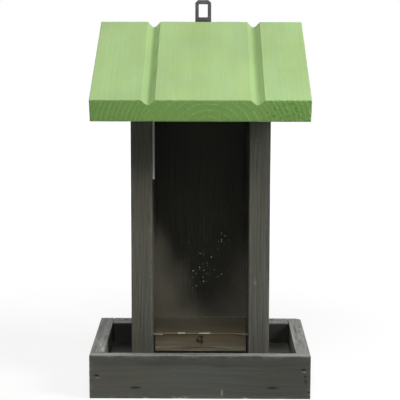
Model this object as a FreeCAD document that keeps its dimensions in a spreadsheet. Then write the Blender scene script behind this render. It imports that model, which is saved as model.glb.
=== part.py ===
import FreeCAD, Part
import os
import Sketcher

# Silo bird feeder: a wooden tray, two posts with a clear pane in their saw kerfs, a back panel with a
# hanging plate, and a sloping roof board on two hinges.
# Millimetres. The origin is the middle of the tray's underside, +Z is up and the front faces -Y.

# Driving dimensions: name, value, what it measures
SIZES = (
    ("tray_width", 175, "outer width of the tray"),
    ("tray_depth", 128, "outer depth of the tray"),
    ("tray_height", 35, "height of the tray walls"),
    ("wall_thick", 10, "front wall"),
    ("side_wall_thick", 11.5, "side walls"),
    ("back_thick", 19, "back wall and back panel"),
    ("floor_thick", 18, "tray floor"),

    ("hopper_width", 78, "clear width between the posts"),
    ("post_thick", 17, "post, across the feeder"),
    ("post_setback", 40, "tray front face to post front face"),
    ("post_height", 237.2, "tray underside to the front top edge of a post"),

    ("pane_thick", 2, "clear pane"),
    ("pane_setback", 16, "post front face to the middle of the pane"),
    ("kerf_depth", 4.5, "saw kerf in the inner face of a post"),
    ("kerf_clear", 0.2, "pane face to kerf face, each side"),
    ("kerf_end_clear", 0.5, "pane edge to the bottom of its kerf"),
    ("seed_slot", 21, "tray floor to the lower edge of the pane"),
    ("pane_lift", 6, "how far the pane rises under the closed roof"),
    ("pane_top_clear", 0.6, "raised pane to the roof"),
    ("rest_pin_radius", 0.8, "pin under a lower corner of the pane"),
    ("rest_pin_length", 8, "whole length of a rest pin"),
    ("rest_pin_proud", 2, "rest pin past the inner face of its post"),
    ("rest_pin_gap", 0.1, "rest pin to the lower edge of the pane"),

    ("seed_thick", 5, "sloping seed board"),
    ("seed_reach", 30.5, "back panel to the front edge of the seed board"),
    ("seed_slope", 32, "seed board, degrees from level"),
    ("seed_side_clear", 0.4, "seed board to each post"),

    ("roof_slope", 23, "roof, degrees from level"),
    ("roof_width", 170, "roof board, across"),
    ("roof_thick", 19, "roof board"),
    ("roof_overhang", 44.8, "along the board, from the post front face to its front end"),
    ("roof_seat_gap", 0.2, "post top to the underside of the closed roof, upright"),
    ("groove_left", 40, "middle of the roof to the left groove"),
    ("groove_right", 44, "middle of the roof to the right groove"),
    ("groove_width", 10.7, "routed groove at the roof's surface, its sides at 45 degrees"),
    ("groove_round", 3, "radius of the groove's rounded bottom"),

    ("hinge_spacing", 46, "between the middles of the two hinges"),
    ("leaf_width", 20, "hinge leaf, across"),
    ("leaf_thick", 1, "hinge leaf plate"),
    ("leaf_panel_drop", 22, "fixed leaf below the top back edge of the panel"),
    ("leaf_roof_height", 15, "roof leaf below the hinge axis"),
    ("knuckle_radius", 2.1, "outside of the hinge knuckles"),
    ("knuckle_gap", 0.3, "knuckles to what turns past them"),
    ("knuckle_cover", 0.2, "knuckle top below the back top edge of the roof"),
    ("middle_knuckle", 8, "length of the fixed leaf's knuckle"),
    ("knuckle_side_gap", 0.25, "between neighbouring knuckles"),
    ("hinge_pin_radius", 1, "hinge pin"),
    ("hinge_pin_clear", 0.05, "hinge pin to its knuckles"),
    ("hinge_pin_proud", 0.4, "hinge pin past the knuckles, each end"),
    ("mortise_clear", 0.1, "fixed leaf to the sides of its mortise"),

    ("hanger_width", 13.6, "hanging plate, across"),
    ("hanger_offset", 1.5, "hanging plate to the right of the feeder's middle"),
    ("hanger_thick", 1.5, "hanging plate"),
    ("hanger_above_roof", 18.1, "hanging plate above the back top edge of the roof"),
    ("hanger_tail", 32, "hanging plate below the top back edge of the panel"),
    ("hanger_corner", 2.5, "cut corners of the hanging plate"),
    ("loop_width", 7.6, "hanging loop, clear width"),
    ("loop_height", 10.9, "hanging loop, clear height"),
    ("loop_bar", 3.7, "bar over the hanging loop"),

    ("fastener_clear", 0.05, "every screw, nail and staple to its hole"),
    ("mouth", 1, "how far a hole cutter stands out of the wood"),

    ("board_screw_radius", 2, "screw that joins boards, shank"),
    ("board_screw_head", 4, "its countersunk head, radius"),
    ("board_screw_length", 40, "its whole length"),
    ("board_screw_tip", 5, "its tapered tip"),
    ("board_screw_point", 0.3, "its point, radius"),
    ("board_screw_cross", 4.4, "its cross recess, across"),
    ("board_screw_slit", 0.9, "its cross recess, width of a slit"),
    ("board_screw_recess", 1.6, "its cross recess, depth"),

    ("hinge_screw_radius", 1, "hinge screw, shank"),
    ("hinge_screw_head", 1.9, "its countersunk head, radius"),
    ("hinge_screw_length", 10, "its whole length"),
    ("hinge_screw_tip", 2.5, "its tapered tip"),
    ("hinge_screw_point", 0.2, "its point, radius"),
    ("hinge_screw_cross", 2.2, "its cross recess, across"),
    ("hinge_screw_slit", 0.5, "its cross recess, width of a slit"),
    ("hinge_screw_recess", 0.7, "its cross recess, depth"),

    ("hanger_screw_radius", 1.75, "hanging plate's screw, shank"),
    ("hanger_screw_head", 3.3, "its domed head, radius"),
    ("hanger_screw_dome", 1.9, "its domed head, height"),
    ("hanger_screw_length", 16, "its length under the head"),
    ("hanger_screw_tip", 4, "its tapered tip"),
    ("hanger_screw_point", 0.3, "its point, radius"),
    ("hanger_screw_cross", 3.4, "its cross recess, across"),
    ("hanger_screw_slit", 0.8, "its cross recess, width of a slit"),
    ("hanger_screw_recess", 1.2, "its cross recess, depth"),

    ("brad_wide", 1.3, "brad, width of the shank"),
    ("brad_thick", 1.1, "brad, thickness"),
    ("brad_head", 2.9, "brad, width of the head"),
    ("brad_head_height", 0.8, "brad, height of the head"),
    ("brad_length", 30, "brad, whole length"),
    ("brad_sink", 0.3, "brad head below the wood's face"),

    ("staple_wire", 1.1, "staple wire, square"),
    ("staple_crown", 6.4, "staple, outside width"),
    ("staple_leg", 28, "staple, whole depth"),
    ("staple_sink", 0.3, "staple crown below the wood's face"),

    ("front_staple_left", 36.5, "tray's left end to a staple in the front wall"),
    ("front_staple_right", 30.5, "tray's right end to a staple in the front wall"),
    ("side_staple_inset", 30, "floor's front and back edges to the staples in a side wall"),
    ("back_staple_inset", 40, "floor's side edges to the staples in the back wall"),
    ("corner_brad_left", 18.7, "brad at the left end of the front wall, height"),
    ("corner_brad_right", 23.8, "brad at the right end of the front wall, height"),
    ("post_screw_inset", 15, "post's front and back faces to the screws in its foot"),
    ("panel_screw_low", 35, "foot of the panel to its lower screws"),
    ("panel_screw_high", 30, "back top edge of the posts to the panel's upper screws"),
    ("seed_brad_up", 24, "along the seed board, from its front top edge to its brads"),
    ("hanger_screw_drop", 9, "top back edge of the panel to the upper hanger screw"),
    ("hanger_screw_pitch", 14, "between the two hanger screws"),
    ("hinge_screw_spread", 11, "between the two screws of a hinge leaf"),
    ("hinge_screw_drop", 12, "top back edge of the panel to the fixed leaf's screws"),
    ("leaf_screw_drop", 9, "hinge axis to the roof leaf's screws"),
)

# Places that follow from the driving dimensions: name, formula
PLACES = (
    ("tray_front", "-Sizes.tray_depth / 2"),
    ("tray_back", "Sizes.tray_depth / 2"),
    ("tray_side", "Sizes.tray_width / 2"),
    ("well_front", "tray_front + Sizes.wall_thick"),
    ("well_side", "tray_side - Sizes.side_wall_thick"),
    ("back_face", "tray_back - Sizes.back_thick"),
    ("post_inner", "Sizes.hopper_width / 2"),
    ("post_middle", "post_inner + Sizes.post_thick / 2"),
    ("post_outer", "post_inner + Sizes.post_thick"),
    ("post_front", "tray_front + Sizes.post_setback"),
    ("post_depth", "back_face - post_front"),
    ("post_back_top", "Sizes.post_height + post_depth * tan(Sizes.roof_slope)"),
    ("panel_back_top", "Sizes.post_height + (tray_back - post_front) * tan(Sizes.roof_slope)"),

    ("kerf_half", "Sizes.pane_thick / 2 + Sizes.kerf_clear"),
    ("pane_middle", "post_front + Sizes.pane_setback"),
    ("pane_front", "pane_middle - Sizes.pane_thick / 2"),
    ("pane_low", "Sizes.floor_thick + Sizes.seed_slot"),
    ("pane_half", "post_inner + Sizes.kerf_depth - Sizes.kerf_end_clear"),
    ("roof_over_pane", "Sizes.post_height + Sizes.roof_seat_gap + (pane_front - post_front) * tan(Sizes.roof_slope)"),
    ("pane_high", "roof_over_pane - Sizes.pane_lift - Sizes.pane_top_clear"),
    ("rest_pin_height", "pane_low - Sizes.rest_pin_gap - Sizes.rest_pin_radius"),

    ("seed_front", "back_face - Sizes.seed_reach"),
    ("seed_front_top", "Sizes.floor_thick + Sizes.seed_thick * cos(Sizes.seed_slope)"),
    ("seed_foot", "seed_front + Sizes.seed_thick * sin(Sizes.seed_slope)"),
    ("seed_back_top", "seed_front_top + Sizes.seed_reach * tan(Sizes.seed_slope)"),
    ("seed_back_low", "seed_back_top - Sizes.seed_thick / cos(Sizes.seed_slope)"),
    ("seed_half", "post_inner - Sizes.seed_side_clear"),
    ("seed_brad_y", "seed_front + Sizes.seed_brad_up * cos(Sizes.seed_slope)"
                    " + Sizes.seed_thick / 2 * sin(Sizes.seed_slope)"),
    ("seed_brad_z", "seed_front_top + Sizes.seed_brad_up * sin(Sizes.seed_slope)"
                    " - Sizes.seed_thick / 2 * cos(Sizes.seed_slope)"),

    ("hinge_y", "tray_back - Sizes.knuckle_radius"),
    ("roof_end", "hinge_y - Sizes.knuckle_radius - Sizes.knuckle_gap"),
    ("roof_foot", "Sizes.post_height + Sizes.roof_seat_gap"),
    ("roof_run", "roof_end - post_front"),
    ("roof_end_top", "roof_foot + roof_run * tan(Sizes.roof_slope) + Sizes.roof_thick / cos(Sizes.roof_slope)"),
    ("roof_length_low", "roof_run / cos(Sizes.roof_slope)"),
    ("roof_length_top", "roof_length_low + Sizes.roof_thick * tan(Sizes.roof_slope)"),
    ("groove_half", "Sizes.groove_width / 2"),
    ("groove_bend", "Sizes.groove_round * sqrt(2) / 2"),
    ("groove_axis", "Sizes.roof_thick - groove_half + 2 * groove_bend"),
    ("hinge_z", "roof_end_top - Sizes.knuckle_cover - Sizes.knuckle_radius"),

    ("hinge_middle", "Sizes.hinge_spacing / 2"),
    ("leaf_start", "hinge_middle - Sizes.leaf_width / 2"),
    ("leaf_low", "panel_back_top - Sizes.leaf_panel_drop"),
    ("leaf_roof_low", "hinge_z - Sizes.leaf_roof_height"),
    ("leaf_notch_low", "hinge_z - Sizes.knuckle_radius - Sizes.knuckle_gap"),
    ("knuckle_start", "hinge_middle - Sizes.middle_knuckle / 2"),
    ("knuckle_end", "hinge_middle + Sizes.middle_knuckle / 2"),
    ("outer_knuckle", "(Sizes.leaf_width - Sizes.middle_knuckle) / 2 - Sizes.knuckle_side_gap"),
    ("knuckle_bore", "Sizes.hinge_pin_radius + Sizes.hinge_pin_clear"),
    ("leaf_screw_near", "hinge_middle - Sizes.hinge_screw_spread / 2"),
    ("leaf_screw_far", "hinge_middle + Sizes.hinge_screw_spread / 2"),
    ("panel_leaf_screw_z", "panel_back_top - Sizes.hinge_screw_drop"),
    ("roof_leaf_screw_z", "hinge_z - Sizes.leaf_screw_drop"),
    ("roof_leaf_back", "roof_end + Sizes.leaf_thick"),

    ("hanger_half", "Sizes.hanger_width / 2"),
    ("hanger_low", "panel_back_top - Sizes.hanger_tail"),
    ("hanger_high", "roof_end_top + Sizes.hanger_above_roof"),
    ("hanger_back", "tray_back + Sizes.hanger_thick"),
    ("loop_half", "Sizes.loop_width / 2"),
    ("loop_high", "hanger_high - Sizes.loop_bar"),
    ("loop_low", "loop_high - Sizes.loop_height"),
    ("hanger_screw_upper", "panel_back_top - Sizes.hanger_screw_drop"),
    ("hanger_screw_lower", "hanger_screw_upper - Sizes.hanger_screw_pitch"),

    ("floor_middle", "Sizes.floor_thick / 2"),
    ("wall_middle", "Sizes.tray_height / 2"),
    ("side_wall_middle", "tray_side - Sizes.side_wall_thick / 2"),
    ("back_wall_middle", "tray_back - Sizes.back_thick / 2"),
    ("front_staple_left", "-tray_side + Sizes.front_staple_left"),
    ("front_staple_right", "tray_side - Sizes.front_staple_right"),
    ("side_staple_front", "well_front + Sizes.side_staple_inset"),
    ("side_staple_back", "back_face - Sizes.side_staple_inset"),
    ("back_staple", "well_side - Sizes.back_staple_inset"),
    ("post_screw_front", "post_front + Sizes.post_screw_inset"),
    ("post_screw_back", "back_face - Sizes.post_screw_inset"),
    ("panel_screw_lower", "Sizes.tray_height + Sizes.panel_screw_low"),
    ("panel_screw_upper", "post_back_top - Sizes.panel_screw_high"),
)

X_AXIS = FreeCAD.Vector(1, 0, 0)
Y_AXIS = FreeCAD.Vector(0, 1, 0)
Z_AXIS = FreeCAD.Vector(0, 0, 1)
QUARTER = 90
HALF = 180

# A fastener is drawn with its head at the top of Z. Each turn points that way out of a face of the feeder.
TURNS = {
    "front": FreeCAD.Rotation(X_AXIS, QUARTER),
    "back": FreeCAD.Rotation(X_AXIS, -QUARTER),
    "below": FreeCAD.Rotation(X_AXIS, HALF),
    "right": FreeCAD.Rotation(Y_AXIS, QUARTER),
    "left": FreeCAD.Rotation(Y_AXIS, -QUARTER),
    "right_level": FreeCAD.Rotation(Y_AXIS, QUARTER) * FreeCAD.Rotation(Z_AXIS, QUARTER),
    "left_level": FreeCAD.Rotation(Y_AXIS, -QUARTER) * FreeCAD.Rotation(Z_AXIS, QUARTER),
}
SIDES = (("right", ""), ("left", "-"))

doc = FreeCAD.newDocument("silo_bird_feeder")
nodes = []
cutters = {}


# Sheets

def driving_sheet():
    sheet = doc.addObject("Spreadsheet::Sheet", "Sizes")
    for row, (alias, value, note) in enumerate(SIZES, start=1):
        sheet.set(f"A{row}", alias)
        sheet.set(f"B{row}", str(value))
        sheet.set(f"C{row}", note)
        sheet.setAlias(f"B{row}", alias)


def places_sheet():
    sheet = doc.addObject("Spreadsheet::Sheet", "Places")
    for row, (alias, formula) in enumerate(PLACES, start=1):
        sheet.set(f"A{row}", alias)
        sheet.set(f"B{row}", "=" + formula)
        sheet.setAlias(f"B{row}", alias)


# Helpers for primitives and booleans

def place(item, x="0", y="0", z="0"):
    for axis, formula in (("x", x), ("y", y), ("z", z)):
        item.setExpression(f".Placement.Base.{axis}", formula)
    return item


def box(name, x, y, z):
    """A box between two places along each axis, given as pairs of formulas."""
    item = doc.addObject("Part::Box", name)
    for size, (low, high) in (("Length", x), ("Width", y), ("Height", z)):
        item.setExpression(size, f"({high}) - ({low})")
    return place(item, x[0], y[0], z[0])


def cylinder(name, radius, low, high):
    """An upright cylinder on the Z axis."""
    item = doc.addObject("Part::Cylinder", name)
    item.setExpression("Radius", radius)
    item.setExpression("Height", f"({high}) - ({low})")
    return place(item, z=low)


def cylinder_across(name, radius, start, end, y, z):
    """A cylinder that runs along X between two places."""
    item = doc.addObject("Part::Cylinder", name)
    item.Placement = FreeCAD.Placement(FreeCAD.Vector(), TURNS["right"])
    item.setExpression("Radius", radius)
    item.setExpression("Height", f"({end}) - ({start})")
    return place(item, start, y, z)


def cone(name, low_radius, high_radius, low, high):
    item = doc.addObject("Part::Cone", name)
    item.setExpression("Radius1", low_radius)
    item.setExpression("Radius2", high_radius)
    item.setExpression("Height", f"({high}) - ({low})")
    return place(item, z=low)


def fuse(name, shapes):
    item = doc.addObject("Part::MultiFuse", name)
    item.Shapes = shapes
    return item


def compound(name, links):
    item = doc.addObject("Part::Compound", name)
    item.Links = links
    return item


def cut(name, base, tool):
    item = doc.addObject("Part::Cut", name)
    item.Base = base
    item.Tool = tool
    return item


def node(label, item):
    item.Label = label
    nodes.append(item)
    return item


def drilled(label, base, groups):
    """The node that is left when the holes of some fastener groups are cut out of a piece."""
    tool = compound(label + "_holes", [cutters[group] for group in groups])
    return node(label, cut(label + "_cut", base, tool))


def mirrored(label, source):
    item = doc.addObject("Part::Mirroring", label + "_mirror")
    item.Source = source
    item.Normal = X_AXIS
    return node(label, item)


# Helpers for sketched bodies

def sketch_on(body, role, name):
    sketch = body.newObject("Sketcher::SketchObject", name)
    plane = next(feature for feature in body.Origin.OriginFeatures if feature.Role == role)
    sketch.AttachmentSupport = [(plane, "")]
    sketch.MapMode = "FlatFace"
    return sketch


def fix_point(sketch, geometry, position, name, formulas, numbers):
    """Ties a point of the sketch to the sheet by its distances from the sketch's origin."""
    for axis, formula, number in zip("XY", formulas, numbers):
        index = sketch.addConstraint(Sketcher.Constraint("Distance" + axis, -1, 1, geometry, position, number))
        sketch.renameConstraint(index, name + axis.lower())
        sketch.setExpression(f"Constraints.{name}{axis.lower()}", formula)


def polygon(sketch, name, corners):
    """A closed outline through corners given as pairs of formulas."""
    numbers = [tuple(float(sketch.evalExpression(formula)) for formula in corner) for corner in corners]
    first = sketch.GeometryCount
    count = len(corners)
    for index in range(count):
        start = FreeCAD.Vector(*numbers[index], 0)
        end = FreeCAD.Vector(*numbers[(index + 1) % count], 0)
        sketch.addGeometry(Part.LineSegment(start, end))
    for index in range(count):
        after = first + (index + 1) % count
        sketch.addConstraint(Sketcher.Constraint("Coincident", first + index, 2, after, 1))
    for index in range(count):
        fix_point(sketch, first + index, 1, f"{name}{index}", corners[index], numbers[index])


def circle(sketch, name, centre, radius):
    numbers = tuple(float(sketch.evalExpression(formula)) for formula in centre)
    size = float(sketch.evalExpression(radius))
    index = sketch.addGeometry(Part.Circle(FreeCAD.Vector(*numbers, 0), Z_AXIS, size))
    fix_point(sketch, index, 3, name, centre, numbers)
    constraint = sketch.addConstraint(Sketcher.Constraint("Radius", index, size))
    sketch.renameConstraint(constraint, name + "_radius")
    sketch.setExpression(f"Constraints.{name}_radius", radius)


def pad(body, sketch, name, length, side="One side", backwards=False):
    feature = body.newObject("PartDesign::Pad", name)
    feature.Profile = sketch
    feature.SideType = side
    feature.Reversed = backwards
    feature.setExpression("Length", length)
    sketch.Visibility = False
    return feature


def pocket_through(body, sketch, name):
    """Cuts the sketch through the whole body, and makes sure that it took material away."""
    doc.recompute()
    before = body.Shape.Volume
    feature = body.newObject("PartDesign::Pocket", name)
    feature.Profile = sketch
    feature.SideType = "Symmetric"
    feature.Type = "ThroughAll"
    doc.recompute()
    if body.Shape.Volume >= before:
        raise RuntimeError(f"{name} removes nothing from {body.Name}")
    return feature


# Masters of the fasteners, and of the holes that they sit in

def cross_recess(name, kind, top):
    """The cross slot in a screw's head, whose mouth is at a height of the screw."""
    depth = (f"{top} - Sizes.{kind}_recess", f"{top} + Sizes.mouth")
    reach = f"Sizes.{kind}_cross / 2"
    slit = f"Sizes.{kind}_slit / 2"
    along = box(name + "_along", ("-" + reach, reach), ("-" + slit, slit), depth)
    across = box(name + "_across", ("-" + slit, slit), ("-" + reach, reach), depth)
    return fuse(name, [along, across])


def screw_shank(name, kind, grow):
    """Shank and tapered tip, from the head's face down."""
    radius = f"Sizes.{kind}_radius + {grow}"
    taper = f"-Sizes.{kind}_length + Sizes.{kind}_tip"
    end = f"-Sizes.{kind}_length - {grow}"
    shank = cylinder(name + "_shank", radius, taper, "0")
    tip = cone(name + "_tip", f"Sizes.{kind}_point + {grow}", radius, end, taper)
    return [shank, tip]


def countersunk_head(name, kind, grow):
    height = f"Sizes.{kind}_radius - Sizes.{kind}_head"
    return cone(name + "_head", f"Sizes.{kind}_radius + {grow}", f"Sizes.{kind}_head + {grow}", height, "0")


def countersunk_screw(kind):
    pieces = screw_shank(kind, kind, "0") + [countersunk_head(kind, kind, "0")]
    return cut(kind, fuse(kind + "_blank", pieces), cross_recess(kind + "_recess", kind, "0"))


def countersunk_hole(kind):
    grow = "Sizes.fastener_clear"
    name = kind + "_hole"
    mouth = cylinder(name + "_mouth", f"Sizes.{kind}_head + {grow}", "0", "Sizes.mouth")
    return fuse(name, screw_shank(name, kind, grow) + [countersunk_head(name, kind, grow), mouth])


def domed_screw(kind):
    dome = f"Sizes.{kind}_dome"
    ball = f"((Sizes.{kind}_head * Sizes.{kind}_head + {dome} * {dome}) / (2 * {dome}))"
    head = doc.addObject("Part::Sphere", kind + "_head")
    head.setExpression("Radius", ball)
    head.setExpression("Angle1", f"asin(({ball} - {dome}) / {ball})")
    place(head, z=f"{dome} - {ball}")
    blank = fuse(kind + "_blank", screw_shank(kind, kind, "0") + [head])
    return cut(kind, blank, cross_recess(kind + "_recess", kind, dome))


def plain_hole(kind):
    grow = "Sizes.fastener_clear"
    name = kind + "_hole"
    mouth = cylinder(name + "_mouth", f"Sizes.{kind}_radius + {grow}", "0", "Sizes.mouth")
    return fuse(name, screw_shank(name, kind, grow) + [mouth])


def brad(name, grow, head_top):
    """A brad of flat wire with a wider head, as a nail gun drives it."""
    wide = f"Sizes.brad_wide / 2 + {grow}"
    head_wide = f"Sizes.brad_head / 2 + {grow}"
    half_thick = f"Sizes.brad_thick / 2 + {grow}"
    thick = (f"-({half_thick})", half_thick)
    head_low = f"-Sizes.brad_sink - Sizes.brad_head_height - {grow}"
    shank = box(name + "_shank", (f"-({wide})", wide), thick, (f"-Sizes.brad_length - {grow}", head_low))
    head = box(name + "_head", (f"-({head_wide})", head_wide), thick, (head_low, head_top))
    return fuse(name, [shank, head])


def staple(name, grow, crown_top):
    wire = f"Sizes.staple_wire / 2 + {grow}"
    reach = f"Sizes.staple_crown / 2 + {grow}"
    inside = f"Sizes.staple_crown / 2 - Sizes.staple_wire - {grow}"
    crown_low = f"-Sizes.staple_sink - Sizes.staple_wire - {grow}"
    foot = f"-Sizes.staple_sink - Sizes.staple_leg - {grow}"
    thick = (f"-({wire})", wire)
    crown = box(name + "_crown", (f"-({reach})", reach), thick, (crown_low, crown_top))
    right = box(name + "_right_leg", (inside, reach), thick, (foot, crown_low))
    left = box(name + "_left_leg", (f"-({reach})", f"-({inside})"), thick, (foot, crown_low))
    return fuse(name, [crown, right, left])


def rest_pin(name, grow, top):
    low = f"Sizes.rest_pin_proud - Sizes.rest_pin_length - {grow}"
    return cylinder(name, f"Sizes.rest_pin_radius + {grow}", low, top)


def fastener_masters():
    """Each kind of fastener with the cutter of its hole."""
    loose = "Sizes.fastener_clear"
    return {
        "board_screw": (countersunk_screw("board_screw"), countersunk_hole("board_screw")),
        "hinge_screw": (countersunk_screw("hinge_screw"), countersunk_hole("hinge_screw")),
        "hanger_screw": (domed_screw("hanger_screw"), plain_hole("hanger_screw")),
        "brad": (brad("brad", "0", "-Sizes.brad_sink"), brad("brad_hole", loose, "Sizes.mouth")),
        "staple": (staple("staple", "0", "-Sizes.staple_sink"), staple("staple_hole", loose, "Sizes.mouth")),
        "rest_pin": (rest_pin("rest_pin", "0", "Sizes.rest_pin_proud"),
                     rest_pin("rest_pin_hole", loose, "Sizes.mouth")),
    }


def copies(name, master, spots):
    """One link to a master for each spot, which is a turn and three formulas."""
    links = []
    for turn, x, y, z in spots:
        link = doc.addObject("App::Link", name + "_copy")
        link.LinkedObject = master
        link.Placement = FreeCAD.Placement(FreeCAD.Vector(), TURNS[turn])
        links.append(place(link, x, y, z))
    return compound(name + "_group", links)


def fastener_group(label, master, spots):
    solid, hole = master
    node(label, copies(label, solid, spots))
    cutters[label] = copies(label + "_hole", hole, spots)


def fasteners():
    masters = fastener_masters()
    post_screw_places = ("Places.post_screw_front", "Places.post_screw_back")
    panel_screw_heights = ("Places.panel_screw_lower", "Places.panel_screw_upper")
    leaf_screw_places = ("Places.leaf_screw_near", "Places.leaf_screw_far")
    hanger_screw_heights = ("Places.hanger_screw_upper", "Places.hanger_screw_lower")
    side_staple_places = ("Places.side_staple_front", "Places.side_staple_back")

    front_wall = [("front", place_x, "Places.tray_front", "Places.floor_middle")
                  for place_x in ("Places.front_staple_left", "Places.front_staple_right")]
    side_walls = []
    back_wall = []
    corners = []
    posts = []
    panel = []
    seed_board = []
    pins = []
    panel_leaves = []
    roof_leaves = []
    for side, sign in SIDES:
        other = "left" if side == "right" else "right"
        wall = f"{sign}Places.tray_side"
        middle = f"{sign}Places.post_middle"
        for y in side_staple_places:
            side_walls.append((side + "_level", wall, y, "Places.floor_middle"))
        side_walls.append((side, wall, "Places.back_wall_middle", "Places.wall_middle"))
        back_wall.append(("back", f"{sign}Places.back_staple", "Places.tray_back", "Places.floor_middle"))
        corners.append(("front", f"{sign}Places.side_wall_middle", "Places.tray_front",
                        f"Sizes.corner_brad_{side}"))
        for y in post_screw_places:
            posts.append(("below", middle, y, "0"))
        for z in panel_screw_heights:
            panel.append(("back", middle, "Places.tray_back", z))
        seed_board.append((side, f"{sign}Places.post_outer", "Places.seed_brad_y", "Places.seed_brad_z"))
        pins.append((other, f"{sign}Places.post_inner", "Places.pane_middle", "Places.rest_pin_height"))
        for x in leaf_screw_places:
            panel_leaves.append(("back", sign + x, "Places.tray_back", "Places.panel_leaf_screw_z"))
            roof_leaves.append(("back", sign + x, "Places.roof_leaf_back", "Places.roof_leaf_screw_z"))
    hanger = [("back", "Sizes.hanger_offset", "Places.hanger_back", z) for z in hanger_screw_heights]

    fastener_group("front_wall_staples", masters["staple"], front_wall)
    fastener_group("side_wall_staples", masters["staple"], side_walls)
    fastener_group("back_wall_staples", masters["staple"], back_wall)
    fastener_group("front_corner_brads", masters["brad"], corners)
    fastener_group("seed_board_brads", masters["brad"], seed_board)
    fastener_group("post_screws", masters["board_screw"], posts)
    fastener_group("back_panel_screws", masters["board_screw"], panel)
    fastener_group("pane_rest_pins", masters["rest_pin"], pins)
    fastener_group("hinge_panel_screws", masters["hinge_screw"], panel_leaves)
    fastener_group("hinge_roof_screws", masters["hinge_screw"], roof_leaves)
    fastener_group("hanger_screws", masters["hanger_screw"], hanger)


# Tray

def tray():
    walls = ("0", "Sizes.tray_height")
    whole = ("-Places.tray_side", "Places.tray_side")
    inside = ("-Places.well_side", "Places.well_side")

    floor = box("floor_board", inside, ("Places.well_front", "Places.back_face"), ("0", "Sizes.floor_thick"))
    drilled("tray_floor", floor,
            ["front_wall_staples", "side_wall_staples", "back_wall_staples", "post_screws"])

    front = box("front_board", whole, ("Places.tray_front", "Places.well_front"), walls)
    drilled("tray_front_wall", front, ["front_wall_staples", "front_corner_brads"])

    back = box("back_board", inside, ("Places.back_face", "Places.tray_back"), walls)
    drilled("tray_back_wall", back, ["side_wall_staples", "back_wall_staples"])

    deep = ("Places.well_front", "Places.tray_back")
    right = box("right_side_board", ("Places.well_side", "Places.tray_side"), deep, walls)
    left = box("left_side_board", ("-Places.tray_side", "-Places.well_side"), deep, walls)
    drilled("tray_side_wall_right", right, ["side_wall_staples", "front_corner_brads"])
    drilled("tray_side_wall_left", left, ["side_wall_staples", "front_corner_brads"])


# Silo

def side_posts():
    body = doc.addObject("PartDesign::Body", "post_board")
    outline = sketch_on(body, "YZ_Plane", "post_outline")
    polygon(outline, "corner", (
        ("Places.post_front", "Sizes.floor_thick"),
        ("Places.back_face", "Sizes.floor_thick"),
        ("Places.back_face", "Places.post_back_top"),
        ("Places.post_front", "Sizes.post_height"),
    ))
    pad(body, outline, "post_pad", "Sizes.post_thick")
    kerf = sketch_on(body, "XY_Plane", "kerf_outline")
    front = "Places.pane_middle - Places.kerf_half"
    back = "Places.pane_middle + Places.kerf_half"
    mouth = "-Sizes.mouth"
    polygon(kerf, "corner", (
        (mouth, front), ("Sizes.kerf_depth", front), ("Sizes.kerf_depth", back), (mouth, back),
    ))
    pocket_through(body, kerf, "kerf")
    place(body, "Places.post_inner")
    right = drilled("side_post_right", body,
                    ["post_screws", "back_panel_screws", "seed_board_brads", "pane_rest_pins"])
    mirrored("side_post_left", right)


def back_panel():
    body = doc.addObject("PartDesign::Body", "panel_board")
    outline = sketch_on(body, "YZ_Plane", "panel_outline")
    polygon(outline, "corner", (
        ("Places.back_face", "Sizes.tray_height"),
        ("Places.tray_back", "Sizes.tray_height"),
        ("Places.tray_back", "Places.panel_back_top"),
        ("Places.back_face", "Places.post_back_top"),
    ))
    pad(body, outline, "panel_pad", "2 * Places.post_outer", "Symmetric")
    mortises = []
    depth = ("Places.tray_back - Sizes.leaf_thick", "Places.tray_back + Sizes.mouth")
    height = ("Places.leaf_low - Sizes.mortise_clear", "Places.panel_back_top + Sizes.mouth")
    near = "Places.leaf_start - Sizes.mortise_clear"
    far = "Places.leaf_start + Sizes.leaf_width + Sizes.mortise_clear"
    mortises.append(box("right_mortise", (near, far), depth, height))
    mortises.append(box("left_mortise", (f"-({far})", f"-({near})"), depth, height))
    board = cut("panel_mortised", body, compound("mortises", mortises))
    drilled("back_panel", board, ["back_panel_screws", "hinge_panel_screws", "hanger_screws"])


def seed_board():
    body = doc.addObject("PartDesign::Body", "seed_slope")
    outline = sketch_on(body, "YZ_Plane", "seed_outline")
    polygon(outline, "corner", (
        ("Places.seed_foot", "Sizes.floor_thick"),
        ("Places.back_face", "Places.seed_back_low"),
        ("Places.back_face", "Places.seed_back_top"),
        ("Places.seed_front", "Places.seed_front_top"),
        ("Places.seed_front", "Sizes.floor_thick"),
    ))
    pad(body, outline, "seed_pad", "2 * Places.seed_half", "Symmetric")
    drilled("seed_board", body, ["seed_board_brads"])


def front_pane():
    across = ("-Places.pane_half", "Places.pane_half")
    deep = ("Places.pane_front", "Places.pane_front + Sizes.pane_thick")
    node("front_pane", box("pane_sheet", across, deep, ("Places.pane_low", "Places.pane_high")))


# Roof

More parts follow.
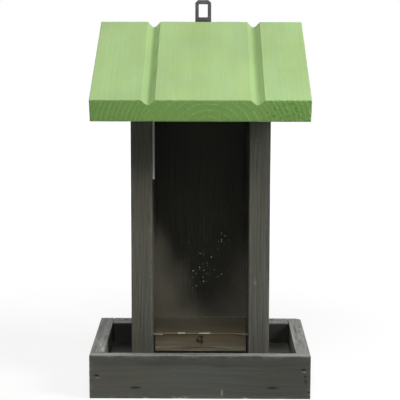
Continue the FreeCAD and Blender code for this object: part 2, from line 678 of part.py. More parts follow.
def roof_board():
    """The board lies flat in its own frame, Y up the slope from the posts' front face, and is then tilted."""
    body = doc.addObject("PartDesign::Body", "roof_plank")
    outline = sketch_on(body, "YZ_Plane", "roof_outline")
    polygon(outline, "corner", (
        ("-Sizes.roof_overhang", "0"),
        ("Places.roof_length_low", "0"),
        ("Places.roof_length_top", "Sizes.roof_thick"),
        ("-Sizes.roof_overhang", "Sizes.roof_thick"),
    ))
    pad(body, outline, "roof_pad", "Sizes.roof_width", "Symmetric")
    grooves = (("left", "-Sizes.groove_left"), ("right", "Sizes.groove_right"))
    bottoms = sketch_on(body, "XZ_Plane", "groove_bottom_outline")
    for side, middle in grooves:
        circle(bottoms, side, (middle, "Places.groove_axis"), "Sizes.groove_round")
    pocket_through(body, bottoms, "groove_bottoms")
    flanks = sketch_on(body, "XZ_Plane", "groove_flank_outline")
    low = "Places.groove_axis - Places.groove_bend"
    high = "Sizes.roof_thick + Sizes.mouth"
    wide = "Places.groove_half + Sizes.mouth"
    for side, middle in grooves:
        polygon(flanks, side, (
            (f"{middle} - Places.groove_bend", low), (f"{middle} + Places.groove_bend", low),
            (f"{middle} + ({wide})", high), (f"{middle} - ({wide})", high),
        ))
    pocket_through(body, flanks, "groove_flanks")
    body.Placement = FreeCAD.Placement(FreeCAD.Vector(), FreeCAD.Rotation(X_AXIS, 1))
    body.setExpression(".Placement.Rotation.Angle", "Sizes.roof_slope")
    place(body, "0", "Places.post_front", "Places.roof_foot")
    drilled("roof_board", body, ["hinge_roof_screws"])


# Hinges

def hinge_leaf(name, plate_y, low, notches, knuckles):
    """A leaf's plate with its knuckles, cut away where the other leaf's knuckles turn."""
    width = ("Places.leaf_start", "Places.leaf_start + Sizes.leaf_width")
    plate = box(name + "_plate", width, plate_y, (low, "Places.hinge_z"))
    notch_y = (f"{plate_y[0]} - Sizes.mouth", f"{plate_y[1]} + Sizes.mouth")
    notch_z = ("Places.leaf_notch_low", "Places.hinge_z + Sizes.mouth")
    gaps = [box(name + "_notch", notch, notch_y, notch_z) for notch in notches]
    plate = cut(name + "_notched", plate, compound(name + "_notches", gaps))
    sleeves = [cylinder_across(name + "_knuckle", "Sizes.knuckle_radius", start, end,
                               "Places.hinge_y", "Places.hinge_z") for start, end in knuckles]
    leaf = fuse(name + "_blank", [plate] + sleeves)
    bore = cylinder_across(name + "_bore", "Places.knuckle_bore", f"{width[0]} - Sizes.mouth",
                           f"{width[1]} + Sizes.mouth", "Places.hinge_y", "Places.hinge_z")
    return cut(name + "_bored", leaf, bore)


def hinges():
    start = "Places.leaf_start"
    end = "Places.leaf_start + Sizes.leaf_width"
    middle = ("Places.knuckle_start", "Places.knuckle_end")
    near = (start, f"{start} + Places.outer_knuckle")
    far = (f"{end} - Places.outer_knuckle", end)
    beside = [(f"{start} - Sizes.mouth", middle[0]), (middle[1], f"{end} + Sizes.mouth")]
    between = [(near[1], far[0])]

    fixed = hinge_leaf("fixed_leaf", ("Places.tray_back - Sizes.leaf_thick", "Places.tray_back"),
                       "Places.leaf_low", beside, [middle])
    fixed = drilled("hinge_fixed_leaf_right", fixed, ["hinge_panel_screws"])
    mirrored("hinge_fixed_leaf_left", fixed)

    moving = hinge_leaf("roof_leaf", ("Places.roof_end", "Places.roof_leaf_back"),
                        "Places.leaf_roof_low", between, [near, far])
    moving = drilled("hinge_roof_leaf_right", moving, ["hinge_roof_screws"])
    mirrored("hinge_roof_leaf_left", moving)

    pin = cylinder_across("hinge_pin", "Sizes.hinge_pin_radius", f"{start} - Sizes.hinge_pin_proud",
                          f"{end} + Sizes.hinge_pin_proud", "Places.hinge_y", "Places.hinge_z")
    mirrored("hinge_pin_left", node("hinge_pin_right", pin))


# Hanging plate

def hanger_plate():
    body = doc.addObject("PartDesign::Body", "hanger_strap")
    outline = sketch_on(body, "XZ_Plane", "hanger_outline")
    half = "Places.hanger_half"
    inset = "Places.hanger_half - Sizes.hanger_corner"
    low = "Places.hanger_low"
    high = "Places.hanger_high"
    polygon(outline, "corner", (
        (f"-({inset})", low), (inset, low), (half, f"{low} + Sizes.hanger_corner"),
        (half, f"{high} - Sizes.hanger_corner"), (inset, high), (f"-({inset})", high),
        (f"-{half}", f"{high} - Sizes.hanger_corner"), (f"-{half}", f"{low} + Sizes.hanger_corner"),
    ))
    polygon(outline, "loop", (
        ("-Places.loop_half", "Places.loop_low"), ("Places.loop_half", "Places.loop_low"),
        ("Places.loop_half", "Places.loop_high"), ("-Places.loop_half", "Places.loop_high"),
    ))
    pad(body, outline, "hanger_pad", "Sizes.hanger_thick", backwards=True)
    place(body, "Sizes.hanger_offset", "Places.tray_back")
    drilled("hanger_plate", body, ["hanger_screws"])


def check_model():
    for item in doc.Objects:
        if "Invalid" in item.State or "Error" in item.State:
            raise RuntimeError(f"{item.Label} failed: {item.State}")
    for item in nodes:
        if item.Shape.isNull() or not item.Shape.isValid() or not item.Shape.Solids:
            raise RuntimeError(f"{item.Label} has no valid solid")


def write_nodes():
    os.makedirs("parts", exist_ok=True)
    for item in nodes:
        item.Shape.exportStep(os.path.join("parts", item.Label + ".step"))


driving_sheet()
places_sheet()
doc.recompute()
fasteners()
tray()
side_posts()
back_panel()
seed_board()
front_pane()
roof_board()
hinges()
hanger_plate()
doc.recompute()
check_model()
write_nodes()
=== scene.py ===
import bmesh
import bpy
import math
import numpy as np
from mathutils import Matrix, Vector, noise


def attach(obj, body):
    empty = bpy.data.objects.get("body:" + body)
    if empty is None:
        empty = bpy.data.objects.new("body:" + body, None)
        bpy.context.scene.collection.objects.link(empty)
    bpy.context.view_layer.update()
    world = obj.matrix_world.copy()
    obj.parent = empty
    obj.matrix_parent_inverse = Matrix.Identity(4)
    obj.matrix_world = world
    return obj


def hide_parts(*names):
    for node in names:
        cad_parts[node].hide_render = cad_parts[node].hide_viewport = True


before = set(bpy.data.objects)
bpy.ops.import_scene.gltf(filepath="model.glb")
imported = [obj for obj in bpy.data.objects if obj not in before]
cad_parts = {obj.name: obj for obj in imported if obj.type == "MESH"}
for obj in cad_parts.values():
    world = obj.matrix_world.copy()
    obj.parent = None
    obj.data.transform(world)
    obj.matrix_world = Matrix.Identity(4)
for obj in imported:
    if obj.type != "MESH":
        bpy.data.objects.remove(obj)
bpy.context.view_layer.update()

# Silo bird feeder: stained boards with rounded arrises and grain, a clear pane, and plated steel fittings.
# Boards are worked out in millimetres in the feeder's frame and written in metres.

MM = 0.001
AXES = (Vector((1, 0, 0)), Vector((0, 1, 0)), Vector((0, 0, 1)))
TOUCH = 0.02  # two places this near, in millimetres, are the same place
WELD = 0.002  # points of a CAD mesh this near are joined

# Turns of an arris at which its grid lines lie, in degrees from the flat face
ARRIS_TURNS = (45, 30, 15, 0)

# Clearances of the cuts that the boards hold, in millimetres
KERF_SIDE = 0.2
KERF_END = 0.5
LEAF_THICK = 1.0
MORTISE_SIDE = 0.1
FASTENER_SIDE = 0.05
CUTTER_OUT = 3.0  # how far a cutter stands out of the wood
SLOT_DEPTH = 2.5  # how deep a staple's or brad's mouth is cut
ROUND_SIDES = 28  # sides of a round cutter
SCREW_SHANK = 0.5  # a countersunk screw's shank, as a share of its head's radius


# Reading the frame

def node_points(node):
    """All points of a CAD node at rest, in millimetres."""
    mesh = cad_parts[node].data
    flat = np.empty(len(mesh.vertices) * 3, np.float32)
    mesh.vertices.foreach_get("co", flat)
    return flat.reshape(-1, 3).astype(float) / MM


def node_box(node):
    points = node_points(node)
    return points.min(0), points.max(0)


def solids_of(node):
    """The box of each separate solid of a CAD node, in millimetres."""
    work = bmesh.new()
    work.from_mesh(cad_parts[node].data)
    bmesh.ops.remove_doubles(work, verts=work.verts, dist=WELD * MM)
    left = set(work.verts)
    boxes = []
    while left:
        found = [left.pop()]
        for vertex in found:
            for edge in vertex.link_edges:
                other = edge.other_vert(vertex)
                if other in left:
                    left.remove(other)
                    found.append(other)
        points = np.array([vertex.co for vertex in found]) / MM
        boxes.append((points.min(0), points.max(0)))
    work.free()
    return sorted(boxes, key=lambda box: tuple(np.round(box[0], 3)))


def own_side(boxes, sign):
    """The boxes on the right for sign 1, or on the left for sign -1."""
    return [box for box in boxes if (box[0][0] + box[1][0]) * sign > 0]


# Noise and soft steps

def noise_at(points, scale, seed=0.0):
    """Smooth noise of about -1 to 1, the same in every run. The scale is per millimetre."""
    spots = points * np.asarray(scale) + seed
    return np.array([noise.noise(spot) for spot in spots])


def ease(values, low, high):
    """0 up to low, 1 from high, and smooth between."""
    share = np.clip((values - low) / (high - low), 0, 1)
    return share * share * (3 - 2 * share)


def bell(values, middle, width):
    """1 at the middle, falling smoothly to about a third at the width on either side."""
    return np.exp(-((values - middle) / width) ** 2)


# Board meshes

def stations(length, arris, step, extra=()):
    """Grid lines along one side of a board: close on its arrises, even between, and some extra."""
    turn = np.array([arris * (1 - math.tan(math.radians(angle))) for angle in ARRIS_TURNS])
    count = max(2, round((length - 2 * arris) / step))
    even = np.linspace(arris, length - arris, count + 1)
    extra = np.asarray(extra, float)
    extra = extra[(extra > arris) & (extra < length - arris)]
    return np.unique(np.round(np.concatenate([turn, even, length - turn, extra]), 4))


def box_surface(lines):
    """Points and outward quads of a box whose grid lines along x, y and z are given."""
    counts = [len(line) for line in lines]
    quads = []
    for axis in range(3):
        first, second = (axis + 1) % 3, (axis + 2) % 3
        grid = np.meshgrid(np.arange(counts[first]), np.arange(counts[second]), indexing="ij")
        for end in (0, counts[axis] - 1):
            index = [None] * 3
            index[axis] = np.full(grid[0].shape, end)
            index[first], index[second] = grid
            key = np.ravel_multi_index(index, counts)
            corners = [key[:-1, :-1], key[1:, :-1], key[1:, 1:], key[:-1, 1:]]
            if end == 0:
                corners.reverse()
            quads.append(np.stack([corner.ravel() for corner in corners], 1))
    keys, quads = np.unique(np.concatenate(quads), return_inverse=True)
    index = np.unravel_index(keys, counts)
    points = np.stack([line[spots] for line, spots in zip(lines, index)], 1)
    return points, quads.reshape(-1, 4)


def rounded(points, size, arris):
    """The points of a box with its arrises rounded, and which way is out at each."""
    inner = np.clip(points, arris, np.asarray(size) - arris)
    out = points - inner
    out /= np.linalg.norm(out, axis=1, keepdims=True)
    return inner + out * arris, out


ARRIS_REACH = 1.6  # how far wear spreads from an arris, in millimetres
FIBRE_HEIGHT = 0.03  # raised grain on a planed face
WAVE_HEIGHT = 0.09  # slow unevenness of a board
END_HEIGHT = 0.10  # sawn end grain
SAWN_HEIGHT = 0.20  # rough sawn faces
FACE_SINK = 0.06  # how far the relief's middle lies below the face, where its crests are cut off
WEAR_DEPTH = 0.20  # deepest wear of an arris

# Scales of the noise that shapes them, per millimetre
FIBRE_ACROSS = 0.9
FIBRE_ALONG = 0.03
WAVE_ACROSS = 0.035
WAVE_ALONG = 0.012
END_SCALE = 0.8
SAWN_SCALE = 0.55
BITE_SCALE = 0.14  # long worn stretches of an arris
CHIP_SCALE = 0.5  # small chips along a ragged end


def arris_nearness(points, size):
    """1 on an arris, falling to 0 some millimetres away on the faces."""
    edge = np.sort(np.minimum(points, np.asarray(size) - points), axis=1)
    return np.exp(-edge[:, 1] / ARRIS_REACH)


def worn_surface(points, out, size, along, sawn, ragged, seed):
    """Moves a board's points in by its grain, its unevenness, its sawn faces and its worn arrises."""
    fibre = np.full(3, FIBRE_ACROSS)
    fibre[along] = FIBRE_ALONG
    slow = np.full(3, WAVE_ACROSS)
    slow[along] = WAVE_ALONG
    end = np.abs(out[:, along]) ** 4
    height = FIBRE_HEIGHT * noise_at(points, fibre, seed) * (1 - end) - FACE_SINK
    height += WAVE_HEIGHT * noise_at(points, slow, seed + 31.7)
    height += END_HEIGHT * (noise_at(points, END_SCALE, seed + 57.1) - 0.5) * end
    height += SAWN_HEIGHT * (noise_at(points, SAWN_SCALE, seed + 12.9) - 0.6) * sawn
    near = arris_nearness(points, size)
    bite = np.clip(noise_at(points, BITE_SCALE, seed + 83.3) - 0.05, 0, 1)
    chip = np.clip(noise_at(points, CHIP_SCALE, seed + 61.9), 0, 1)
    height -= near ** 2 * (WEAR_DEPTH * bite + ragged * chip * end)
    return points + out * np.minimum(height, 0)[:, None]


def make_mesh(name, points, faces, values=None):
    """A mesh from points in millimetres, with named values at its points."""
    mesh = bpy.data.meshes.new(name)
    mesh.from_pydata((np.asarray(points) * MM).tolist(), [], [list(face) for face in faces])
    for key, numbers in (values or {}).items():
        layer = mesh.attributes.new(key, "FLOAT", "POINT")
        layer.data.foreach_set("value", np.asarray(numbers, np.float32))
    return mesh


def add_object(name, mesh):
    item = bpy.data.objects.new(name, mesh)
    bpy.context.scene.collection.objects.link(item)
    return item


def cut_out(item, cutters):
    """Takes the cutters, closed meshes given as points and faces, out of a piece."""
    if not cutters:
        return
    points, faces = [], []
    for cutter_points, cutter_faces in cutters:
        faces += [[index + len(points) for index in face] for face in cutter_faces]
        points += [list(point) for point in cutter_points]
    tool = add_object(item.name + "_cutter", make_mesh(item.name + "_cutter", points, faces))
    change = item.modifiers.new("cut", "BOOLEAN")
    change.operation = "DIFFERENCE"
    change.solver = "EXACT"
    change.object = tool
    graph = bpy.context.evaluated_depsgraph_get()
    graph.update()
    result = bpy.data.meshes.new_from_object(item.evaluated_get(graph))
    item.modifiers.remove(change)
    spent = (item.data, tool.data)
    item.data = result
    bpy.data.objects.remove(tool)
    for mesh in spent:
        bpy.data.meshes.remove(mesh)
    result.name = item.name


# Cutters

BOX_FACES = ((0, 2, 3, 1), (4, 5, 7, 6), (0, 1, 5, 4), (2, 6, 7, 3), (0, 4, 6, 2), (1, 3, 7, 5))


def box_cutter(low, high):
    corners = [(x, y, z) for z in (low[2], high[2]) for y in (low[1], high[1]) for x in (low[0], high[0])]
    return corners, [list(face) for face in BOX_FACES]


def round_cutter(profile, middle, axis, sign):
    """A turned cutter: pairs of height and radius along an axis from a place on the wood's face."""
    first, second = (axis + 1) % 3, (axis + 2) % 3
    points, faces = [], []
    for height, radius in profile:
        for side in range(ROUND_SIDES):
            angle = 2 * math.pi * side / ROUND_SIDES
            point = list(middle)
            point[axis] += sign * height
            point[first] += radius * math.cos(angle)
            point[second] += radius * math.sin(angle)
            points.append(point)
    for ring in range(len(profile) - 1):
        for side in range(ROUND_SIDES):
            after = (side + 1) % ROUND_SIDES
            low, high = ring * ROUND_SIDES, (ring + 1) * ROUND_SIDES
            faces.append([low + side, low + after, high + after, high + side])
    faces.append(list(reversed(range(ROUND_SIDES))))
    faces.append(list(range((len(profile) - 1) * ROUND_SIDES, len(profile) * ROUND_SIDES)))
    if sign < 0:
        faces = [face[::-1] for face in faces]
    return points, faces


def mouth_of(box, axis, sign):
    """The place where a fastener's axis meets the wood's face, near its outer end."""
    middle = (box[0] + box[1]) / 2
    middle[axis] = box[1][axis] if sign > 0 else box[0][axis]
    return middle


def wire_cutter(box, axis, sign):
    """The mouth of a staple or brad, whose box is as wide as its head."""
    low, high = box[0] - FASTENER_SIDE, box[1] + FASTENER_SIDE
    if sign > 0:
        low[axis], high[axis] = box[1][axis] - SLOT_DEPTH, box[1][axis] + CUTTER_OUT
    else:
        low[axis], high[axis] = box[0][axis] - CUTTER_OUT, box[0][axis] + SLOT_DEPTH
    return box_cutter(low, high)


def screw_cutter(box, axis, sign):
    head = (box[1] - box[0])[(axis + 1) % 3] / 2 + FASTENER_SIDE
    shank = head * SCREW_SHANK
    profile = ((-SLOT_DEPTH * 2, shank), (shank - head, shank), (0, head), (CUTTER_OUT, head))
    return round_cutter(profile, mouth_of(box, axis, sign), axis, sign)


# Shader words

def srgb(red, green, blue):
    """A colour as a screen shows it, 0 to 255, as the light that a shader takes."""
    light = [((value / 255 + 0.055) / 1.055) ** 2.4 for value in (red, green, blue)]
    return (*light, 1.0)


class Shader:
    """The node tree of a material or world, written as formulas."""

    def __init__(self, owner):
        self.owner = owner
        owner.use_nodes = True
        self.tree = owner.node_tree
        self.tree.nodes.clear()

    def feed(self, socket, value):
        if isinstance(value, bpy.types.NodeSocket):
            self.tree.links.new(value, socket)
        else:
            socket.default_value = value

    def add(self, kind, inputs=None, **settings):
        made = self.tree.nodes.new("ShaderNode" + kind)
        for key, value in settings.items():
            setattr(made, key, value)
        for key, value in (inputs or {}).items():
            self.feed(made.inputs[key], value)
        return made

    def math(self, operation, *values, clamp=False):
        made = self.add("Math", dict(enumerate(values)), operation=operation, use_clamp=clamp)
        return made.outputs[0]

    def times(self, first, second):
        return self.math("MULTIPLY", first, second)

    def times_plus(self, first, second, third, clamp=False):
        return self.math("MULTIPLY_ADD", first, second, third, clamp=clamp)

    def vector(self, operation, *values):
        made = self.add("VectorMath", dict(enumerate(values)), operation=operation)
        return made.outputs["Value" if operation in ("DOT_PRODUCT", "LENGTH") else "Vector"]

    def place_mm(self):
        return self.vector("MULTIPLY", self.add("TexCoord").outputs["Object"], (1 / MM, 1 / MM, 1 / MM))

    def noise(self, place, scale, detail=2.0, rough=0.5, seed=0.0):
        """Noise at a place stretched by a scale for each axis, and moved by a seed."""
        spot = self.add("VectorMath", {0: place, 1: scale, 2: (seed, seed, seed)}, operation="MULTIPLY_ADD")
        inputs = {"Vector": spot.outputs["Vector"], "Scale": 1.0, "Detail": detail, "Roughness": rough}
        return self.add("TexNoise", inputs).outputs["Fac"]

    def ramp(self, value, *stops):
        """A value carried through straight stretches between pairs of from and to."""
        made = self.add("ValToRGB", {"Fac": value})
        elements = made.color_ramp.elements
        while len(elements) < len(stops):
            elements.new(0.5)
        for element, (position, level) in zip(elements, stops):
            element.position = position
            element.color = (level, level, level, 1)
        return made.outputs["Color"]

    def mix(self, share, first, second, blend="MIX"):
        made = self.add("Mix", {0: share, 6: first, 7: second}, data_type="RGBA", blend_type=blend)
        return made.outputs[2]

    def shade(self, colour, level):
        """A colour made darker or lighter by a level."""
        return self.mix(1.0, colour, level, "MULTIPLY")

    def value_at(self, name):
        return self.add("Attribute", attribute_name=name).outputs["Fac"]

    def between(self, value, low, high, level):
        """A level up to low, 1 from high, and straight between."""
        inputs = {"Value": value, "From Min": low, "From Max": high, "To Min": level, "To Max": 1.0}
        return self.add("MapRange", inputs).outputs["Result"]

    def relief(self, strength, depth, height):
        """The normal of a surface with fine relief, its depth in millimetres."""
        made = self.add("Bump", {"Strength": strength, "Distance": depth * MM, "Height": height})
        return made.outputs["Normal"]

    def principled(self, colour, rough, normal, more=None):
        inputs = {"Base Color": colour, "Roughness": rough, "Normal": normal, **(more or {})}
        return self.add("BsdfPrincipled", inputs).outputs["BSDF"]

    def end(self, surface, output="OutputMaterial"):
        self.add(output, {"Surface": surface})
        return self.owner


def material_shader(name):
    return Shader(bpy.data.materials.new(name))


# Wood

# What every kind of wood here shares: lengths in millimetres, shares and contrasts from 0 to 1
PLAIN = {
    "spacing": 3.4, "wide_to": 1000.0, "closer": 0.0, "squeeze": 1.0, "sway": 9.0,
    "ring_share": 0.4, "fibre_share": 0.16, "hair_share": 0.07, "pore_share": 0.3, "tint_share": 0.5,
    "nick_share": 0.5, "wear_share": 0.6, "rough": 0.62, "bump": 0.45,
}
GREY = dict(
    PLAIN, early=srgb(94, 96, 89), late=srgb(78, 80, 74), tint=srgb(97, 93, 82), streak=srgb(50, 51, 47),
    bare=srgb(150, 148, 136), worn=srgb(140, 142, 134), end=srgb(62, 64, 58), end_line=srgb(84, 86, 79),
    end_dark=srgb(48, 50, 45), sawn=srgb(136, 138, 131), stain=(0.62, 0.63, 0.66, 1),
)
# The tray floor's darker colours are painted shade of the wells
GREY_FLOOR = dict(GREY, early=srgb(41, 42, 38), late=srgb(34, 35, 32), tint=srgb(41, 39, 35))
# Each wall's sawn colour is a copy set for the light on it: the front wall's top lightened as painted light,
# the back wall's darkened as painted shade, the side walls' between, on their tops and inner faces
GREY_BACK = dict(GREY, sawn=srgb(120, 122, 117))
GREY_SIDE = dict(GREY, sawn=srgb(130, 132, 126), bare=srgb(172, 175, 169))
GREY_WALL = dict(
    GREY, spacing=5.0, sway=14.0, ring_share=0.30, fibre_share=0.05, hair_share=0.03, pore_share=0.08,
    tint_share=0.7, sawn=srgb(150, 152, 145),
)
GREY_POST = dict(
    GREY, early=srgb(97, 99, 91), late=srgb(73, 75, 69), tint=srgb(100, 94, 79), spacing=3.0, ring_share=0.5,
    fibre_share=0.26, hair_share=0.10, pore_share=0.55, tint_share=0.6, nick_share=0.7, wear_share=0.3,
)
GREEN = dict(
    PLAIN, spacing=5.4, wide_to=36.0, closer=0.16, squeeze=0.78, sway=3.0, ring_share=0.18, fibre_share=0.035,
    hair_share=0.012, pore_share=0.07, nick_share=0.1, rough=0.58, bump=0.25,
    early=srgb(167, 199, 137), late=srgb(157, 190, 126), tint=srgb(173, 198, 121), streak=srgb(136, 167, 105),
    # The end grain colours are lightened as painted light, to make up for the shade on the roof's front end
    bare=srgb(190, 221, 149), worn=srgb(177, 200, 144), end=srgb(166, 220, 119), end_line=srgb(197, 238, 148),
    end_dark=srgb(154, 208, 110), sawn=srgb(171, 199, 138), stain=(0.44, 0.53, 0.37, 1),
)
BROWN = dict(
    PLAIN, spacing=3.8, early=srgb(133, 118, 96), late=srgb(110, 95, 76), tint=srgb(118, 110, 90),
    streak=srgb(52, 45, 38), bare=srgb(160, 148, 128), worn=srgb(170, 160, 141), end=srgb(140, 130, 112),
    end_line=srgb(116, 106, 90), end_dark=srgb(100, 90, 76), sawn=srgb(214, 204, 182),
    stain=(0.62, 0.58, 0.54, 1), rough=0.7,
)
# Near black for painted shade in holes and inside the silo
DEEP_SHADE_TONE = srgb(16, 16, 14)
WOOD_RELIEF = 0.4  # depth of the fine relief in millimetres
WOOD_SHEEN = 0.3


def wood(name, look, grain, across, pith, seed):
    """Stained wood. Growth rings run round a pith line, so that a board's faces, edges and ends agree."""
    s = material_shader(name)
    place = s.place_mm()
    depth = across.cross(grain)
    parts = [s.vector("DOT_PRODUCT", place, tuple(axis)) for axis in (across, depth, grain)]
    local = s.add("CombineXYZ", dict(enumerate(parts))).outputs["Vector"]
    middle = (across @ Vector(pith), depth @ Vector(pith), 0.0)

    def streaks(scale, along, detail, shift, rough=0.5):
        """Noise with a scale across the grain and one along it."""
        return s.noise(local, (scale, scale, along), detail, rough, seed + shift)

    # Growth rings
    sway = s.add("TexNoise", {"Vector": s.vector("MULTIPLY", local, (0.018, 0.018, 0.005)), "Scale": 1.0})
    swing = s.vector("SUBTRACT", sway.outputs["Color"], (0.5, 0.5, 0.5))
    swing = s.vector("MULTIPLY", swing, (look["sway"] * 2, look["sway"] * 2, 0.0))
    spoke = s.vector("SUBTRACT", s.vector("ADD", local, swing), middle)
    radius = s.vector("LENGTH", s.vector("MULTIPLY", spoke, (look["squeeze"], 1.0, 0.0)))
    beyond = s.math("MAXIMUM", s.math("SUBTRACT", radius, look["wide_to"]), 0.0)
    count = s.times_plus(beyond, look["closer"], s.math("DIVIDE", radius, look["spacing"]))
    uneven = s.add("TexNoise", {"W": s.times(radius, 0.16), "Scale": 1.0}, noise_dimensions="1D")
    ring = s.math("FRACT", s.times_plus(uneven.outputs["Fac"], 0.6, count))
    late = s.ramp(ring, (0.0, 0.0), (0.5, 0.12), (0.86, 1.0), (0.96, 0.85), (1.0, 0.0))

    # Long faces
    fibre = streaks(0.8, 0.016, 4.0, 0.0, 0.6)
    hair = streaks(3.4, 0.05, 2.0, 5.3)
    pore = s.ramp(streaks(1.9, 0.045, 3.0, 9.1), (0.60, 0.0), (0.70, 1.0))
    blotch = streaks(0.05, 0.02, 3.0, 2.7)
    nick = s.ramp(streaks(0.9, 0.3, 2.0, 17.0), (0.735, 0.0), (0.77, 1.0))
    face = s.mix(s.times(late, look["ring_share"]), look["early"], look["late"])
    tinted = s.times(s.ramp(blotch, (0.38, 0.0), (0.66, 1.0)), look["tint_share"])
    face = s.mix(s.math("MAXIMUM", tinted, s.value_at("tint")), face, look["tint"])
    cloud = streaks(0.035, 0.014, 4.0, 23.0)
    face = s.shade(face, s.ramp(cloud, (0.35, 0.93), (0.65, 1.06)))
    for value, reach, share in ((fibre, 0.25, look["fibre_share"]), (hair, 0.2, look["hair_share"])):
        face = s.shade(face, s.ramp(value, (0.5 - reach, 1 - share), (0.5 + reach, 1 + share)))
    face = s.mix(s.times(pore, look["pore_share"]), face, look["streak"])
    face = s.mix(s.times(nick, look["nick_share"]), face, look["bare"])

    # Sawn ends and sawn faces
    grit = streaks(1.1, 1.1, 4.0, 3.9, 0.65)
    line = s.ramp(ring, (0.0, 0.8), (0.10, 0.0), (0.82, 0.0), (0.94, 0.9), (1.0, 0.8))
    band = s.ramp(ring, (0.24, 0.0), (0.60, 1.0), (0.80, 0.9), (0.94, 0.0))
    close = s.ramp(s.math("DIVIDE", beyond, 20.0), (0.0, 0.2), (0.6, 1.0))
    faded = streaks(0.07, 0.07, 2.0, 19.0)
    faded = s.ramp(faded, (0.36, 0.15), (0.60, 0.95))
    cut = s.mix(s.times(band, close), look["end"], look["end_dark"])
    broken = s.times(s.ramp(grit, (0.34, 0.1), (0.58, 1.0)), faded)
    cut = s.mix(s.times(line, broken), cut, look["end_line"])
    cut = s.shade(cut, s.ramp(grit, (0.3, 0.86), (0.7, 1.08)))
    end = s.value_at("end")
    colour = s.mix(end, face, cut)
    sawn = s.value_at("sawn")
    furred = s.shade(look["sawn"], s.ramp(grit, (0.34, 0.35), (0.47, 0.90), (0.68, 1.15)))
    torn = streaks(0.5, 0.04, 3.0, 27.0, 0.6)
    furred = s.shade(furred, s.ramp(torn, (0.36, 0.48), (0.50, 1.0), (0.64, 1.2)))
    furred = s.shade(furred, s.ramp(fibre, (0.34, 0.62), (0.48, 1.0), (0.70, 1.12)))
    colour = s.mix(s.times(sawn, 0.9), colour, furred)

    # Stains, wear and dents, with painted shade and painted light among them
    patchy = streaks(0.35, 0.1, 4.0, 8.0, 0.6)
    wear = s.times(s.value_at("arris"), s.ramp(patchy, (0.42, 0.0), (0.62, 1.0)))
    # Stain, and painted shade where a mark stands for it: the left post under the roof, the left well's floor
    # and the bottoms of the roof's grooves
    colour = s.mix(s.value_at("stain"), colour, s.shade(colour, look["stain"]))
    colour = s.mix(s.times(wear, look["wear_share"]), colour, look["worn"])
    rubbed = s.times(s.value_at("pale"), s.ramp(patchy, (0.36, 0.0), (0.60, 1.0)))
    colour = s.mix(s.math("MAXIMUM", rubbed, s.value_at("chip")), colour, look["bare"])
    # Streak colour for real dents and streaks, and for painted shade in the wells, inside the silo, beside
    # the kerfs and high on the seed board
    colour = s.mix(s.value_at("dent"), colour, look["streak"])
    # Painted shade: holes and the inside of the silo turned near black
    colour = s.mix(s.value_at("hole"), colour, DEEP_SHADE_TONE)

    # Gloss and fine relief
    gloss = s.times_plus(fibre, 0.24, look["rough"] - 0.12)
    height = s.times_plus(late, 0.35, s.times(fibre, 0.8))
    for value, share in ((hair, 0.35), (pore, -0.4), (grit, s.times_plus(end, 0.9, sawn))):
        height = s.times_plus(value, share, height)
    normal = s.relief(look["bump"], WOOD_RELIEF, height)
    return s.end(s.principled(colour, gloss, normal, {"Specular IOR Level": WOOD_SHEEN}))


# Clear pane

DUST_MIDDLE = (6.0, 0.0, 104.0)  # where dust specks are thickest, in millimetres
DUST_REACH = (1 / 44, 0.0, 1 / 62)  # and one over how far they spread from there
ACRYLIC_IOR = 1.49
ACRYLIC_TINT = (0.93, 0.94, 0.92, 1)


